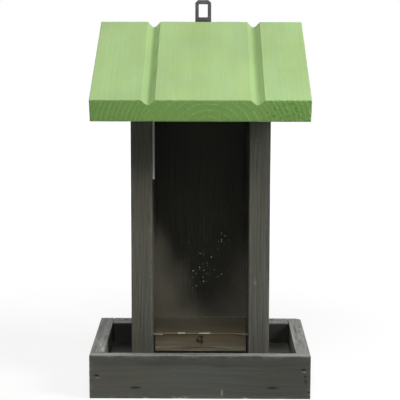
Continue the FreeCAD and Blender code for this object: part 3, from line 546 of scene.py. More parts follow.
def acrylic():
    """Clear sheet: dust and fine scratches on its faces, matt saw-cut edges, a painted light line and painted
    highlights along its lower edge, and painted light in its haze.
    """
    s = material_shader("clear_acrylic")
    place = s.place_mm()
    split = s.add("SeparateXYZ", {0: place})
    flat = s.add("CombineXYZ", {0: split.outputs["X"], 1: split.outputs["Z"]}).outputs["Vector"]
    cells = s.add("TexVoronoi", {"Vector": flat, "Scale": 0.34, "Randomness": 1.0}, voronoi_dimensions="2D")
    chance = s.add("SeparateColor", {0: cells.outputs["Color"]})
    small = s.times_plus(chance.outputs["Green"], 0.07, cells.outputs["Distance"])
    dots = s.ramp(small, (0.07, 1.0), (0.125, 0.0))
    chosen = s.ramp(chance.outputs["Red"], (0.50, 0.0), (0.85, 1.0))
    spread = s.vector("MULTIPLY", s.vector("SUBTRACT", place, DUST_MIDDLE), DUST_REACH)
    thick = s.ramp(s.vector("LENGTH", spread), (0.35, 1.0), (0.70, 0.45), (1.0, 0.0))
    crowd = s.ramp(s.noise(place, (0.05, 0.05, 0.05), detail=2.0, seed=4.0), (0.36, 0.15), (0.60, 1.0))
    dust = s.times(s.times(dots, chosen), s.times(crowd, thick))
    film = s.noise(place, (0.025, 0.025, 0.02), detail=3.0, seed=11.0)
    scratch = s.ramp(s.noise(place, (1.6, 1.6, 0.02), detail=1.0, seed=21.0), (0.70, 0.0), (0.74, 1.0))
    edge = s.value_at("edge")
    glint = s.value_at("glint")
    cloud = s.noise(place, (0.06, 0.06, 0.03), detail=3.0, seed=31.0)
    # Haze: seed dust, with painted light where it brightens the pane low down
    haze = s.times(s.value_at("haze"), s.ramp(cloud, (0.3, 0.7), (0.7, 1.25)))
    cover = s.times_plus(dust, 0.9, s.times(film, 0.012))
    for value, share in ((haze, 1.0), (scratch, 0.012), (edge, 0.36), (glint, 1.0)):
        cover = s.times_plus(value, share, cover)
    glance = s.add("LayerWeight", {"Blend": 0.12}).outputs["Fresnel"]
    cover = s.times_plus(glance, 0.3, cover, clamp=True)
    rough = s.times_plus(edge, 0.35, s.times(film, 0.10))
    ripple = s.noise(place, (0.05, 0.05, 0.05), detail=1.0)
    normal = s.relief(0.05, 0.4, ripple)
    # Warm tone of the matt edges and of the painted light line along the lower edge
    tone = s.mix(edge, srgb(200, 191, 166), srgb(186, 172, 148))
    # Near white for the painted highlights and the dust specks
    tone = s.mix(s.math("MAXIMUM", glint, dust), tone, srgb(246, 246, 240))
    body = s.principled(tone, rough, normal, {"IOR": ACRYLIC_IOR})
    clear = s.add("BsdfTransparent", {"Color": ACRYLIC_TINT})
    made = s.add("MixShader", {0: cover, 1: clear.outputs["BSDF"], 2: body})
    return s.end(made.outputs["Shader"])


def pale_film():
    """A strip of the sheet's protective film that was left on, with a painted shadow along its edge."""
    s = material_shader("pale_film")
    place = s.place_mm()
    crease = s.noise(place, (1.2, 1.2, 0.12), detail=3.0, seed=2.0)
    colour = s.mix(crease, srgb(222, 222, 218), srgb(248, 248, 245))
    colour = s.mix(s.value_at("gap_shadow"), colour, srgb(14, 14, 12))
    gloss = s.times_plus(crease, 0.2, 0.35)
    return s.end(s.principled(colour, gloss, s.relief(0.4, 0.2, crease)))


# Steel

def steel(name, bright, dull, rust, metallic, rough, scale, seed):
    """Plated or blackened steel: a fine brushed grain, dull patches and a little rust."""
    s = material_shader(name)
    place = s.place_mm()
    brushed = s.noise(place, (scale * 4, scale * 4, scale * 0.3), detail=3.0, seed=seed)
    patch = s.noise(place, (scale * 0.35,) * 3, detail=4.0, rough=0.6, seed=seed + 6.0)
    patch = s.ramp(patch, (0.36, 0.0), (0.66, 1.0))
    spot = s.noise(place, (scale * 1.1,) * 3, detail=3.0, seed=seed + 14.0)
    spot = s.ramp(spot, (0.66, 0.0), (0.74, 1.0))
    colour = s.mix(patch, bright, dull)
    colour = s.mix(s.times(spot, 0.5), colour, rust)
    gloss = s.times_plus(patch, 0.18, s.times_plus(brushed, 0.16, rough - 0.15))
    height = s.times_plus(spot, 0.6, brushed)
    return s.end(s.principled(colour, gloss, s.relief(0.2, 0.1, height), {"Metallic": metallic}))


# Finished pieces

SHARP = math.radians(35)
MARKS = ("dent", "stain", "pale", "tint", "chip", "hole")
LEVEL = np.eye(3)


def finish_piece(name, mesh, body, node, material, cutters=()):
    """Puts a mesh in the scene as the piece that stands for a CAD node."""
    item = add_object(name, mesh)
    cut_out(item, cutters)
    item.data.materials.clear()
    item.data.materials.append(material)
    item.data.shade_smooth()
    item.data.set_sharp_from_angle(angle=SHARP)
    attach(item, body)
    if node is not None:
        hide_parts(node)


def spot(kind, middle, reach, share, depth=0.0):
    """A mark on a board: its kind, where it is, how far it reaches each way, its strength and its depth."""
    return kind, np.asarray(middle, float), np.asarray(reach, float), share, depth


def board(node, name, look, pith, seed, steps, along=0, shape=None, axes=None, body="feeder",
          arris=0.7, rough=(), ragged=0.0, extra=None, spots=(), stains=None,
          cutters=()):
    """A wooden board made as a box of grid lines, worn, carried into the feeder's frame, marked and cut."""
    grain, across = axes or (AXES[along], AXES[(along + 1) % 3])
    material = wood(name, look, grain, across, pith, seed)
    size, to_frame, turn = shape or flat_shape(node)
    extra = extra or {}
    lines = [stations(size[axis], arris, steps[axis], extra.get(axis, ())) for axis in range(3)]
    points, quads = box_surface(lines)
    flat, out = rounded(points, size, arris)
    sawn = np.zeros(len(points))
    for direction in rough:
        sawn = np.maximum(sawn, np.clip(out @ np.asarray(direction, float), 0, 1) ** 4)
    shaped = to_frame(worn_surface(flat, out, size, along, sawn, ragged, seed))
    values = {"arris": arris_nearness(points, size), "end": np.abs(out[:, along]) ** 4, "sawn": sawn}
    values.update({kind: np.zeros(len(points)) for kind in MARKS})
    outward = out @ turn
    for kind, middle, reach, share, depth in spots:
        pit = np.exp(-np.linalg.norm((shaped - middle) / reach, axis=1) ** 2)
        shaped = shaped - outward * (pit * depth)[:, None]
        values[kind] = np.maximum(values[kind], np.clip(pit * share, 0, 1))
    if stains is not None:
        for kind, amount in stains(shaped).items():
            values[kind] = np.maximum(values[kind], np.clip(amount, 0, 1))
    mesh = make_mesh(node + "_board", shaped, quads, values)
    finish_piece(node + "_board", mesh, body, node, material, cutters)


def flat_shape(node):
    low, high = node_box(node)
    return high - low, lambda spots: spots + low, LEVEL


def top_of_front(points):
    """How high a board's front face reaches."""
    return points[points[:, 1] < points[:, 1].min() + TOUCH][:, 2].max()


def upright_shape(node):
    """Size of an upright board with a sloping top, and the map from its box into the frame."""
    points = node_points(node)
    low, high = points.min(0), points.max(0)
    front_top = top_of_front(points)
    back_top = points[points[:, 1] > high[1] - TOUCH][:, 2].max()
    size = high - low
    size[2] = back_top - low[2]

    def to_frame(spots):
        rise = spots[:, 1] / size[1]
        share = (front_top - low[2]) / size[2] * (1 - rise) + rise
        made = spots + low
        made[:, 2] = spots[:, 2] * share + low[2]
        return made
    return size, to_frame, LEVEL


def wedge_shape(node):
    """Size of the seed board, plumb at both ends with a level foot, and the map from its box."""
    points = node_points(node)
    low, high = points.min(0), points.max(0)
    front_top = top_of_front(points)
    heel = points[points[:, 1] > high[1] - TOUCH][:, 2].min()
    size = high - low
    size[2] = high[2] - heel

    def to_frame(spots):
        top = front_top + (high[2] - front_top) * spots[:, 1] / size[1]
        foot = np.maximum(top - size[2], low[2])
        made = spots + low
        made[:, 2] = foot + (top - foot) * spots[:, 2] / size[2]
        return made
    return size, to_frame, LEVEL


class Slope:
    """The roof board, square at the front and plumb at the back, read from its CAD node."""

    def __init__(self, node):
        points = node_points(node)
        self.points = points
        self.low_x = points[:, 0].min()
        self.base = points[points[:, 2].argmin()] * (0, 1, 1)
        nose = points[points[:, 1].argmin()]
        back = points[points[:, 1] > points[:, 1].max() - TOUCH]
        heel = back[back[:, 2].argmin()]
        run = heel - self.base
        self.angle = math.atan2(run[2], run[1])
        self.along = np.array([0, math.cos(self.angle), math.sin(self.angle)])
        self.up = np.array([0, -math.sin(self.angle), math.cos(self.angle)])
        self.thick = float((nose - self.base) @ self.up)
        self.size = np.array([points[:, 0].max() - self.low_x, math.hypot(run[1], run[2]), self.thick])
        self.turn = np.array([[1, 0, 0], self.along, self.up])

    def to_frame(self, spots):
        reach = spots[:, 1] + spots[:, 1] / self.size[1] * spots[:, 2] * math.tan(self.angle)
        made = self.base + reach[:, None] * self.along + spots[:, 2:3] * self.up
        made[:, 0] = spots[:, 0] + self.low_x
        return made

    def grooves(self):
        """Middle, half width and depth of each groove, from the outline of the front end."""
        offset = self.points - self.base
        at_front = np.abs(offset @ self.along) < TOUCH
        across = self.points[at_front][:, 0]
        height = offset[at_front] @ self.up
        inside = (height > TOUCH) & (height < self.thick - TOUCH)
        found = []
        for side in (-1, 1):
            own = inside & (across * side > 0)
            lowest = height[own].argmin()
            rim = across[height > self.thick - TOUCH]
            left = rim[rim < across[own][lowest]].max()
            right = rim[rim > across[own][lowest]].min()
            found.append(((left + right) / 2, (right - left) / 2, self.thick - height[own][lowest]))
        return found


# Tray

FLOOR_STEPS = (2.6, 1.4, 1.2)
WALL_X_STEPS = (2.4, 0.9, 0.8)
WALL_Y_STEPS = (0.9, 2.0, 0.9)
UPWARD = (0, 0, 1)
FORWARD = (0, -1, 0)

# Marks round fasteners, and dots and chips: reach each way, strength and depth. The near black round the
# front wall's staples and brads and in its dots is painted shade of their holes
STAPLE_MARK = ((3.3, 3.0, 0.7), 1.7, 0.2)
BRAD_MARK = ((1.6, 3.0, 0.75), 1.7, 0.2)
BACK_STAPLE_MARK = ((3.7, 3.0, 1.0), 0.8, 0.3)
SIDE_STAPLE_MARK = ((3.0, 3.0, 3.0), 0.6, 0.3)
DOT_MARK = ((0.8, 2.0, 0.8), 1.2, 0.35)
CHIP_MARK = ((2.2, 2.0, 0.9), 0.9, 0.3)
HOLE_MARK = ((1.4, 3.0, 2.0), 1.5, 0.5)
BRAD_HIGHLIGHT_MARK = ((1.5, 3.0, 0.6), 0.9)
SCRATCH_MARK = ((0.8, 2.0, 2.3), 1.2, 0.15)
SCUFF_MARK = ((8.0, 2.0, 0.6), 0.75, 0.1)
CORNER_MARK = ((2.6, 2.6, 100.0), 0.0, 1.4)  # the right wall's back corner, worn round
INNER_LIGHT_MARK = ((2.2, 34.0, 9.0), 1.0)  # and painted light on its inner face

# Places on the front wall, across and up, and on the back wall's top, across and back
FRONT_DOTS = ((82.8, 18.3), (83.4, 15.0), (83.4, 13.4), (85.9, 5.5))
FRONT_CHIPS = ((-20.0, 1.3), (-15.5, 0.9), (-11.5, 1.4), (-43.0, 0.8), (36.0, 0.7))
FRONT_SCRATCH = (17.5, 5.2)
FRONT_SCUFF = (18.0, 26.3)
FRONT_MARKS = (
    ("hole", FRONT_DOTS, DOT_MARK), ("chip", FRONT_CHIPS, CHIP_MARK),
    ("chip", (FRONT_SCRATCH,), SCRATCH_MARK), ("dent", (FRONT_SCUFF,), SCUFF_MARK),
)
BRAD_HIGHLIGHT_SHIFT = (0.6, 0.0, -1.5)  # from a brad to the painted highlight below it
BACK_HOLES = ((-65.5, 58.6), (61.8, 59.0))

# Streaks on the walls' tops: place across and back, length and strength
BACK_STREAKS = (
    ("dent", -71.0, 54.5, 4.0, 0.8), ("chip", -67.0, 48.4, 6.0, 0.7), ("dent", -60.0, 53.0, 3.0, 0.8),
    ("dent", 69.0, 56.0, 4.0, 0.7), ("chip", 63.0, 50.0, 5.0, 0.5), ("dent", 73.0, 50.5, 2.0, 0.8),
)
RIGHT_STREAKS = (
    (80.2, 22.0, 20.0, 1.1), (79.0, -4.0, 9.0, 0.8), (84.6, 33.0, 5.0, 1.0), (83.2, 16.0, 5.0, 0.7),
    (78.2, -32.0, 12.0, 0.6), (85.0, 2.0, 4.0, 0.6),
)

# Pale rubs there: place across and back, half width, length and strength
RIGHT_RUBS = ((79.0, -30.0, 1.6, 12.0, 0.5), (85.0, 10.0, 1.4, 16.0, 0.5))
LEFT_RUBS = ((-78.3, -44.0, 1.5, 10.0, 1.1), (-81.0, -22.0, 1.5, 15.0, 0.9), (-79.0, 12.0, 1.6, 18.0, 0.6))

WELL_X = 66.0  # the middles of the wells beside the silo
WELL_REACH = (24.0, 90.0, 4.0)
WELL_SHADE = 1.2
WELL_LIGHT = 0.16
BACK_WELL_SHADE = 0.9  # how dark the painted shade on the back wall's face in the wells is
BACK_WELL_SHADE_TOP = 33.6  # and up to what height
STRIP_EDGE = 26.5  # the lower edge of the darker strip along the front wall's top
STRIP_DROP = 6.0  # how much lower that is at the right end


def fastened(boxes, axis, sign, mark):
    """The dents round some staples or brads, and the cutters for them."""
    spots = [spot("dent", mouth_of(box, axis, sign), *mark) for box in boxes]
    return spots, [wire_cutter(box, axis, sign) for box in boxes]


def close_lines(middle, half, step):
    """Extra grid lines on both sides of a mark."""
    return np.arange(-half, half + 0.1, step) + middle


def tray_floor():
    """The floor, with painted shade in the left well and painted light in the right one."""
    top = node_box("tray_floor")[1][2]
    # Painted shade on the left well's floor and painted light on the right well's
    spots = [spot("stain", (-WELL_X, 0, top), WELL_REACH, WELL_SHADE),
             spot("chip", (WELL_X, 0, top), WELL_REACH, WELL_LIGHT)]
    screws = [screw_cutter(box, 2, -1) for box in solids_of("post_screws")]
    board("tray_floor", "grey_floor", GREY_FLOOR, (0, 20, -30), 3.0, FLOOR_STEPS, spots=spots, cutters=screws)


def front_stains(points):
    """A darker strip along the top, deeper at the right end, and browner wipes at the lower left."""
    x, z = points[:, 0], points[:, 2]
    face = ease(-points[:, 1], 62.6, 63.6)
    drift = noise_at(points, (0.06, 0.06, 0.05), 71.0)
    edge = STRIP_EDGE - STRIP_DROP * ease(x, 20, 62) + 2.2 * drift
    soft = 2.2 + 7.5 * ease(x, 20, 62) + 1.6 * ease(-x, 20, 60)
    strip = ease(z, edge - soft, edge + soft) * (0.92 - 0.3 * ease(-x, 25, 60))
    right_end = 0.75 * ease(x, -60, 86)
    slant = points @ np.array([[0.06, 0, 0.02], [0, 0.06, 0], [0.09, 0, -0.12]])
    wipe = 0.5 + 0.9 * noise_at(slant, 1.0, 5.5)
    brown = ease(-x, 20, 84) * ease(-z, -34, -2) * wipe
    return {"stain": np.maximum(strip, right_end) * face, "tint": brown * face}


def front_wall():
    low = node_box("tray_front_wall")[0]
    face = low[1]
    staples = solids_of("front_wall_staples")
    brads = solids_of("front_corner_brads")
    spots = [spot("hole", mouth_of(box, 1, -1), *STAPLE_MARK) for box in staples]
    for box in brads:
        mouth = mouth_of(box, 1, -1)
        spots.append(spot("hole", mouth, *BRAD_MARK))
        # A painted highlight on the lip below each brad
        spots.append(spot("chip", mouth + BRAD_HIGHLIGHT_SHIFT, *BRAD_HIGHLIGHT_MARK))
    for kind, places, mark in FRONT_MARKS:
        spots += [spot(kind, (x, face, z), *mark) for x, z in places]
    mouths = [mouth_of(box, 1, -1) for box in staples + brads]
    across = [close_lines(mouth[0], 5.0, 0.6) for mouth in mouths]
    across += [close_lines(x, 3.0, 0.7) for x, z in FRONT_CHIPS]
    across.append(close_lines(FRONT_SCRATCH[0], 1.5, 0.3))
    levels = [np.array([-1.1, -0.7, 0.7, 1.1]) + mouth[2] for mouth in mouths]
    extra = {0: np.concatenate(across) - low[0], 2: np.concatenate(levels) - low[2]}
    cutters = [wire_cutter(box, 1, -1) for box in staples + brads]
    board("tray_front_wall", "grey_front_wall", GREY_WALL, (0, -24, -60), 7.0, WALL_X_STEPS, rough=(UPWARD,),
          extra=extra, spots=spots, stains=front_stains, cutters=cutters)


def back_wall_shade(points):
    """Painted shade on the back wall's inner face, up to its top edge."""
    inner = node_box("tray_back_wall")[0][1]
    near = 1 - ease(points[:, 1] - inner, 0.25, 0.7)
    return {"dent": BACK_WELL_SHADE * near * (1 - ease(points[:, 2], BACK_WELL_SHADE_TOP, BACK_WELL_SHADE_TOP + 1))}


def back_wall():
    low, high = node_box("tray_back_wall")
    spots, cutters = fastened(solids_of("back_wall_staples"), 1, 1, BACK_STAPLE_MARK)
    spots += [spot("hole", (x, y, high[2]), *HOLE_MARK) for x, y in BACK_HOLES]
    for kind, x, y, length, share in BACK_STREAKS:
        spots.append(spot(kind, (x, y, high[2]), (length, 2.0, 1.5), share, 0.1))
    extra = {0: np.concatenate([close_lines(x, 2.4, 0.6) for x, y in BACK_HOLES]) - low[0]}
    board("tray_back_wall", "grey_back_wall", GREY_BACK, (0, 90, -12), 11.0, WALL_X_STEPS, rough=(UPWARD,),
          extra=extra, spots=spots, stains=back_wall_shade, cutters=cutters)


def side_walls():
    for side, sign, seed, rubs in (("right", 1, 13.0, RIGHT_RUBS), ("left", -1, 17.0, LEFT_RUBS)):
        node = "tray_side_wall_" + side
        low, high = node_box(node)
        staples = own_side(solids_of("side_wall_staples"), sign)
        spots, cutters = fastened(staples, 0, sign, SIDE_STAPLE_MARK)
        for x, y, wide, length, share in rubs:
            spots.append(spot("pale", (x, y, high[2]), (wide, length, 1.5), share))
        if sign > 0:
            spots.append(spot("dent", (high[0], high[1], 20.0), *CORNER_MARK))
            # Painted light on the right wall's inner face
            spots.append(spot("chip", (low[0], -16.0, 32.0), *INNER_LIGHT_MARK))
            for x, y, length, share in RIGHT_STREAKS:
                spots.append(spot("dent", (x, y, high[2]), (1.0, length, 1.5), share, 0.1))
        board(node, "grey_side_wall_" + side, GREY_SIDE, (118 * sign, 0, 12), seed, WALL_Y_STEPS, along=1,
              rough=(UPWARD, (-sign, 0, 0)), spots=spots, cutters=cutters)


# Silo

POST_STEPS = (0.9, 1.1, 3.0)
PANEL_STEPS = (1.2, 1.2, 3.0)
SEED_STEPS = (1.0, 0.8, 0.7)
POST_BRAD_MARK = ((3.0, 1.0, 1.9), 0.8, 0.3)
POST_CHIP_MARK = ((0.9, 2.0, 1.4), 0.9, 0.1)
POST_CHIP = (44.4, 86.0)  # across and up, on the right post's front
POST_TOP_SHADE = ((60.0, 30.0, 62.0), 0.4)  # painted shade of the roof on the left post's upper end: reach each way and strength
KERF_SHADE = ((1.5, 3.5, 150.0), 0.9)  # the dark line in front of a kerf: reach each way and strength

# The seed board's torn knot, as dents: place, reach each way, strength and depth
KNOT = (
    ((-2.4, 20.8, 26.2), (1.3, 2.3, 3.0), 1.2, 0.2), ((1.0, 21.0, 26.4), (0.8, 4.6, 5.0), 1.8, 0.3),
    ((-0.4, 19.2, 25.2), (3.0, 1.0, 3.0), 1.2, 0.2), ((0.2, 24.2, 28.3), (2.2, 1.2, 3.0), 1.2, 0.2),
)


def posts():
    pane_low, pane_high = node_box("front_pane")
    for side, sign, seed, pith in (("right", 1, 23.0, (96, 40, 0)), ("left", -1, 29.0, (-130, -70, 0))):
        node = "side_post_" + side
        low, high = node_box(node)
        inner = low[0] if sign > 0 else high[0]
        end = (pane_high[0] + KERF_END) * sign
        mouth = inner - sign * CUTTER_OUT
        kerf_low = np.array([min(end, mouth), pane_low[1] - KERF_SIDE, low[2] - CUTTER_OUT])
        kerf_high = np.array([max(end, mouth), pane_high[1] + KERF_SIDE, high[2] + CUTTER_OUT])
        brads = own_side(solids_of("seed_board_brads"), sign)
        spots, cutters = fastened(brads, 0, sign, POST_BRAD_MARK)
        cutters.insert(0, box_cutter(kerf_low, kerf_high))
        spots.append(spot("dent", (inner, pane_low[1] - 1.0, 190.0), *KERF_SHADE))
        if sign > 0:
            spots.append(spot("chip", (POST_CHIP[0], low[1], POST_CHIP[1]), *POST_CHIP_MARK))
        else:
            # Painted shade of the roof on the left post's upper end
            spots.append(spot("stain", (inner, low[1], high[2]), *POST_TOP_SHADE))
        board(node, "grey_post_" + side, GREY_POST, pith, seed, POST_STEPS, along=2,
              shape=upright_shape(node), spots=spots, cutters=cutters)


def panel_shade(points):
    """Painted shade on the face inside the silo."""
    inner = 1 - ease(points[:, 1] - node_box("back_panel")[0][1], 0.3, 0.8)
    return {"dent": 0.9 * inner, "hole": 0.35 * inner}


def panel():
    high = node_box("back_panel")[1]
    cutters = [screw_cutter(box, 1, 1) for box in solids_of("back_panel_screws")]
    for side in ("right", "left"):
        leaf_low, leaf_high = node_box("hinge_fixed_leaf_" + side)
        cutters.append(box_cutter(
            (leaf_low[0] - MORTISE_SIDE, high[1] - LEAF_THICK, leaf_low[2] - MORTISE_SIDE),
            (leaf_high[0] + MORTISE_SIDE, high[1] + CUTTER_OUT, high[2] + CUTTER_OUT)))
    board("back_panel", "grey_back_panel", GREY, (14, 96, 0), 37.0, PANEL_STEPS, along=2,
          shape=upright_shape("back_panel"), stains=panel_shade, cutters=cutters)


def seed_scratches_light_and_shade(points):
    """Scratched pale where seed runs out under the pane, paler on the left as painted light, and darker
    higher up, partly dirt and partly painted shade.
    """
    up = points[:, 1] - node_box("seed_board")[0][1]
    streaks = 0.75 + 0.9 * noise_at(points, (0.03, 0.35, 0.35), 12.0)
    left = 1 - ease(points[:, 0], -40, 20)
    scratches_and_light = (0.15 + 0.3 * left) * (1 - ease(up, 7, 12)) * streaks
    return {"chip": scratches_and_light, "dent": 0.8 * ease(up, 4, 24)}


def seed_slope():
    """The raw sloping board, rough along its front edge, with a dark torn knot near the middle."""
    spots = [spot("dent", *mark) for mark in KNOT]
    board("seed_board", "brown_seed_board", BROWN, (0, 34, -30), 41.0, SEED_STEPS,
          shape=wedge_shape("seed_board"), arris=0.4, rough=(FORWARD,), ragged=0.3, spots=spots,
          stains=seed_scratches_light_and_shade)


PANE_STEPS = (3.0, 0.7, 5.0)
PANE_ARRIS = 0.25
SAW_DEPTH = 0.12  # how uneven its sawn edges are
EDGE_BAND = 0.3  # how far up from its lower edge a painted light line stands for the saw cut seen through the pane
BAND_SOFT = 0.1
GLINTS = ((-15.6, 2.9), (3.4, 4.6))  # painted highlights along that edge: middle and half length
GLINT_BAND = 0.5  # how far up they reach
HAZE = 0.085  # seed dust and painted light on the pane's left side, above a painted light line
HAZE_LOW = 0.055  # and below that line
HAZE_RIGHT = 0.85  # the right side's share of this
HAZE_LEFT_EDGE = 5.0  # where the haze of either side ends at the pane's lower edge
HAZE_RIGHT_EDGE = 4.0
HAZE_LEAN = 0.56  # how far these ends move outwards for each millimetre up
HAZE_SOFT = 19.0
HAZE_DRIFT = 9.0  # how uneven these ends are
LIGHT_LINE = 14.6  # the painted light line above the pane's lower edge
LIGHT_LINE_WIDTH = 1.2
LIGHT_LINE_SHARE = 0.020
FILM_STEPS = (0.1, 0.1, 2.0)
FILM_WIDTH = 1.9
FILM_BRIGHT = 1.5  # the bright part of its width, beside the painted shadow at its edge
FILM_LIFT = 1.1  # how far its edge at the post stands off the pane
FILM_LOW = 168.0
FILM_THICK = 0.06
FILM_GAP = 0.05  # between it and the post
FILM_SHORT = 0.5  # how far below the pane's top it ends
FILM_CURL = 0.12


def pane_values(points, out, low):
    """How much of the sawn edge, of a painted highlight and of the haze of dust and painted light shows at
    each point of the pane.
    """
    x, height = points[:, 0] + low[0], points[:, 2]
    edge = 1 - np.abs(out[:, 1]) ** 3
    edge = np.maximum(edge, 1 - ease(height, EDGE_BAND, EDGE_BAND + BAND_SOFT))
    glint = np.zeros(len(points))
    for middle, half in GLINTS:
        along = 1 - ease(np.abs(x - middle), half - 0.2, half + 0.4)
        glint = np.maximum(glint, along * (height < GLINT_BAND + BAND_SOFT / 2))
    glint = glint * np.clip(0.75 + 0.9 * noise_at(points, (0.9, 0.0, 0.0), 77.0), 0.2, 1)
    drift = HAZE_DRIFT * noise_at(points, (0.05, 0.0, 0.04), 61.0)
    left = ease(HAZE_LEFT_EDGE - HAZE_LEAN * height - x + drift, -HAZE_SOFT, HAZE_SOFT)
    right = ease(x - HAZE_RIGHT_EDGE - HAZE_LEAN * height + drift, -HAZE_SOFT, HAZE_SOFT)
    strength = HAZE_LOW + (HAZE - HAZE_LOW) * ease(height, LIGHT_LINE - 2, LIGHT_LINE + 1)
    light_line = LIGHT_LINE_SHARE * bell(height, LIGHT_LINE, LIGHT_LINE_WIDTH)
    return {"edge": edge, "glint": glint, "haze": (left + HAZE_RIGHT * right) * strength + light_line}


def pane():
    """The clear sheet, with values for its edges, its painted highlights and its haze of dust and painted
    light.
    """
    low = node_box("front_pane")[0]
    size, to_frame = flat_shape("front_pane")[:2]
    near = [np.linspace(x - half - 0.5, x + half + 0.5, 9) - low[0] for x, half in GLINTS]
    bands = [EDGE_BAND, EDGE_BAND + BAND_SOFT, GLINT_BAND, GLINT_BAND + BAND_SOFT]
    extra = {0: np.concatenate(near), 2: np.concatenate([bands, np.arange(LIGHT_LINE - 4, LIGHT_LINE + 4, 0.5)])}
    lines = [stations(size[axis], PANE_ARRIS, PANE_STEPS[axis], extra.get(axis, ())) for axis in range(3)]
    points, quads = box_surface(lines)
    flat, out = rounded(points, size, PANE_ARRIS)
    sawn = 1 - np.abs(out[:, 1]) ** 3
    dull = noise_at(points, 0.5, 51.0) * SAW_DEPTH - SAW_DEPTH
    shaped = to_frame(flat + out * (sawn * dull)[:, None])
    mesh = make_mesh("front_pane_sheet", shaped, quads, pane_values(points, out, low))
    finish_piece("front_pane_sheet", mesh, "pane", "front_pane", acrylic())


def film():
    """The strip of film beside the left post, which lifts off the pane."""
    low, high = node_box("front_pane")
    post_inner = node_box("side_post_left")[1][0]
    film_high = np.array([post_inner + FILM_WIDTH, low[1], high[2] - FILM_SHORT])
    film_low = np.array([post_inner + FILM_GAP, low[1] - FILM_THICK, FILM_LOW])
    sides = zip(film_high - film_low, FILM_STEPS)
    points, quads = box_surface([stations(length, FILM_THICK / 3, step) for length, step in sides])
    curl = noise_at(points, (0.0, 0.0, 0.12), 9.0) * FILM_CURL * points[:, 0] / FILM_WIDTH
    lift = FILM_LIFT * np.clip(1 - points[:, 0] / FILM_BRIGHT, 0, 1)
    gap_shadow = ease(points[:, 0], FILM_BRIGHT - 0.1, FILM_BRIGHT + 0.1)
    points = points + film_low
    points[:, 0] += curl
    points[:, 1] -= lift
    mesh = make_mesh("front_pane_film", points, quads, {"gap_shadow": gap_shadow})
    finish_piece("front_pane_film", mesh, "pane", None, pale_film())


# Roof

ROOF_STEPS = (0.8, 1.7, 0.8)
ROOF_PITH_X = 6.3
ROOF_PITH_BELOW = 5.0
ROOF_RAGGED = 1.4
TEAR_DEPTH = 0.25
TEAR_AT = 0.62  # the tears' middle on a groove's right flank, as a share of the groove's half width
TEAR_WIDTH = 0.36
BARE_AT = 0.66  # bare wood there
BARE_WIDTH = 0.26
BARE_SHARES = (0.6, 0.45)  # its strength in the left and in the right groove
POOL_SHADE_SHIFTS = (1.0, -0.7)  # how far right of these grooves' middles stain and painted shade pool
POOL_SHADE_WIDTH = 1.6
POOL_SHADE_SHARE = 0.40
SMEAR_SHADE_SHIFT = -1.5  # a wider and weaker smear of stain and painted shade
SMEAR_SHADE_WIDTH = 3.0
SMEAR_SHADE_SHARE = 0.15
YELLOW_X = -5.0  # the roof's yellower middle
YELLOW_WIDTH = 22.0
YELLOW_SHARE = 0.55
RIM_LINES = (-0.35, 0, 0.35)  # grid lines at a groove's rim


def groove_depth(across, grooves):
    """How deep the roof is cut: a groove's sides slope 45 degrees to a round bottom."""
    drop = np.zeros_like(across)
    for middle, half, depth in grooves:
        radius = (half - depth) / (math.sqrt(2) - 1)
        off = np.abs(across - middle)
        bottom = depth - radius + np.sqrt(np.clip(radius ** 2 - off ** 2, 0, None))
        drop = np.maximum(drop, np.where(off < radius / math.sqrt(2), bottom, half - off))
    return drop


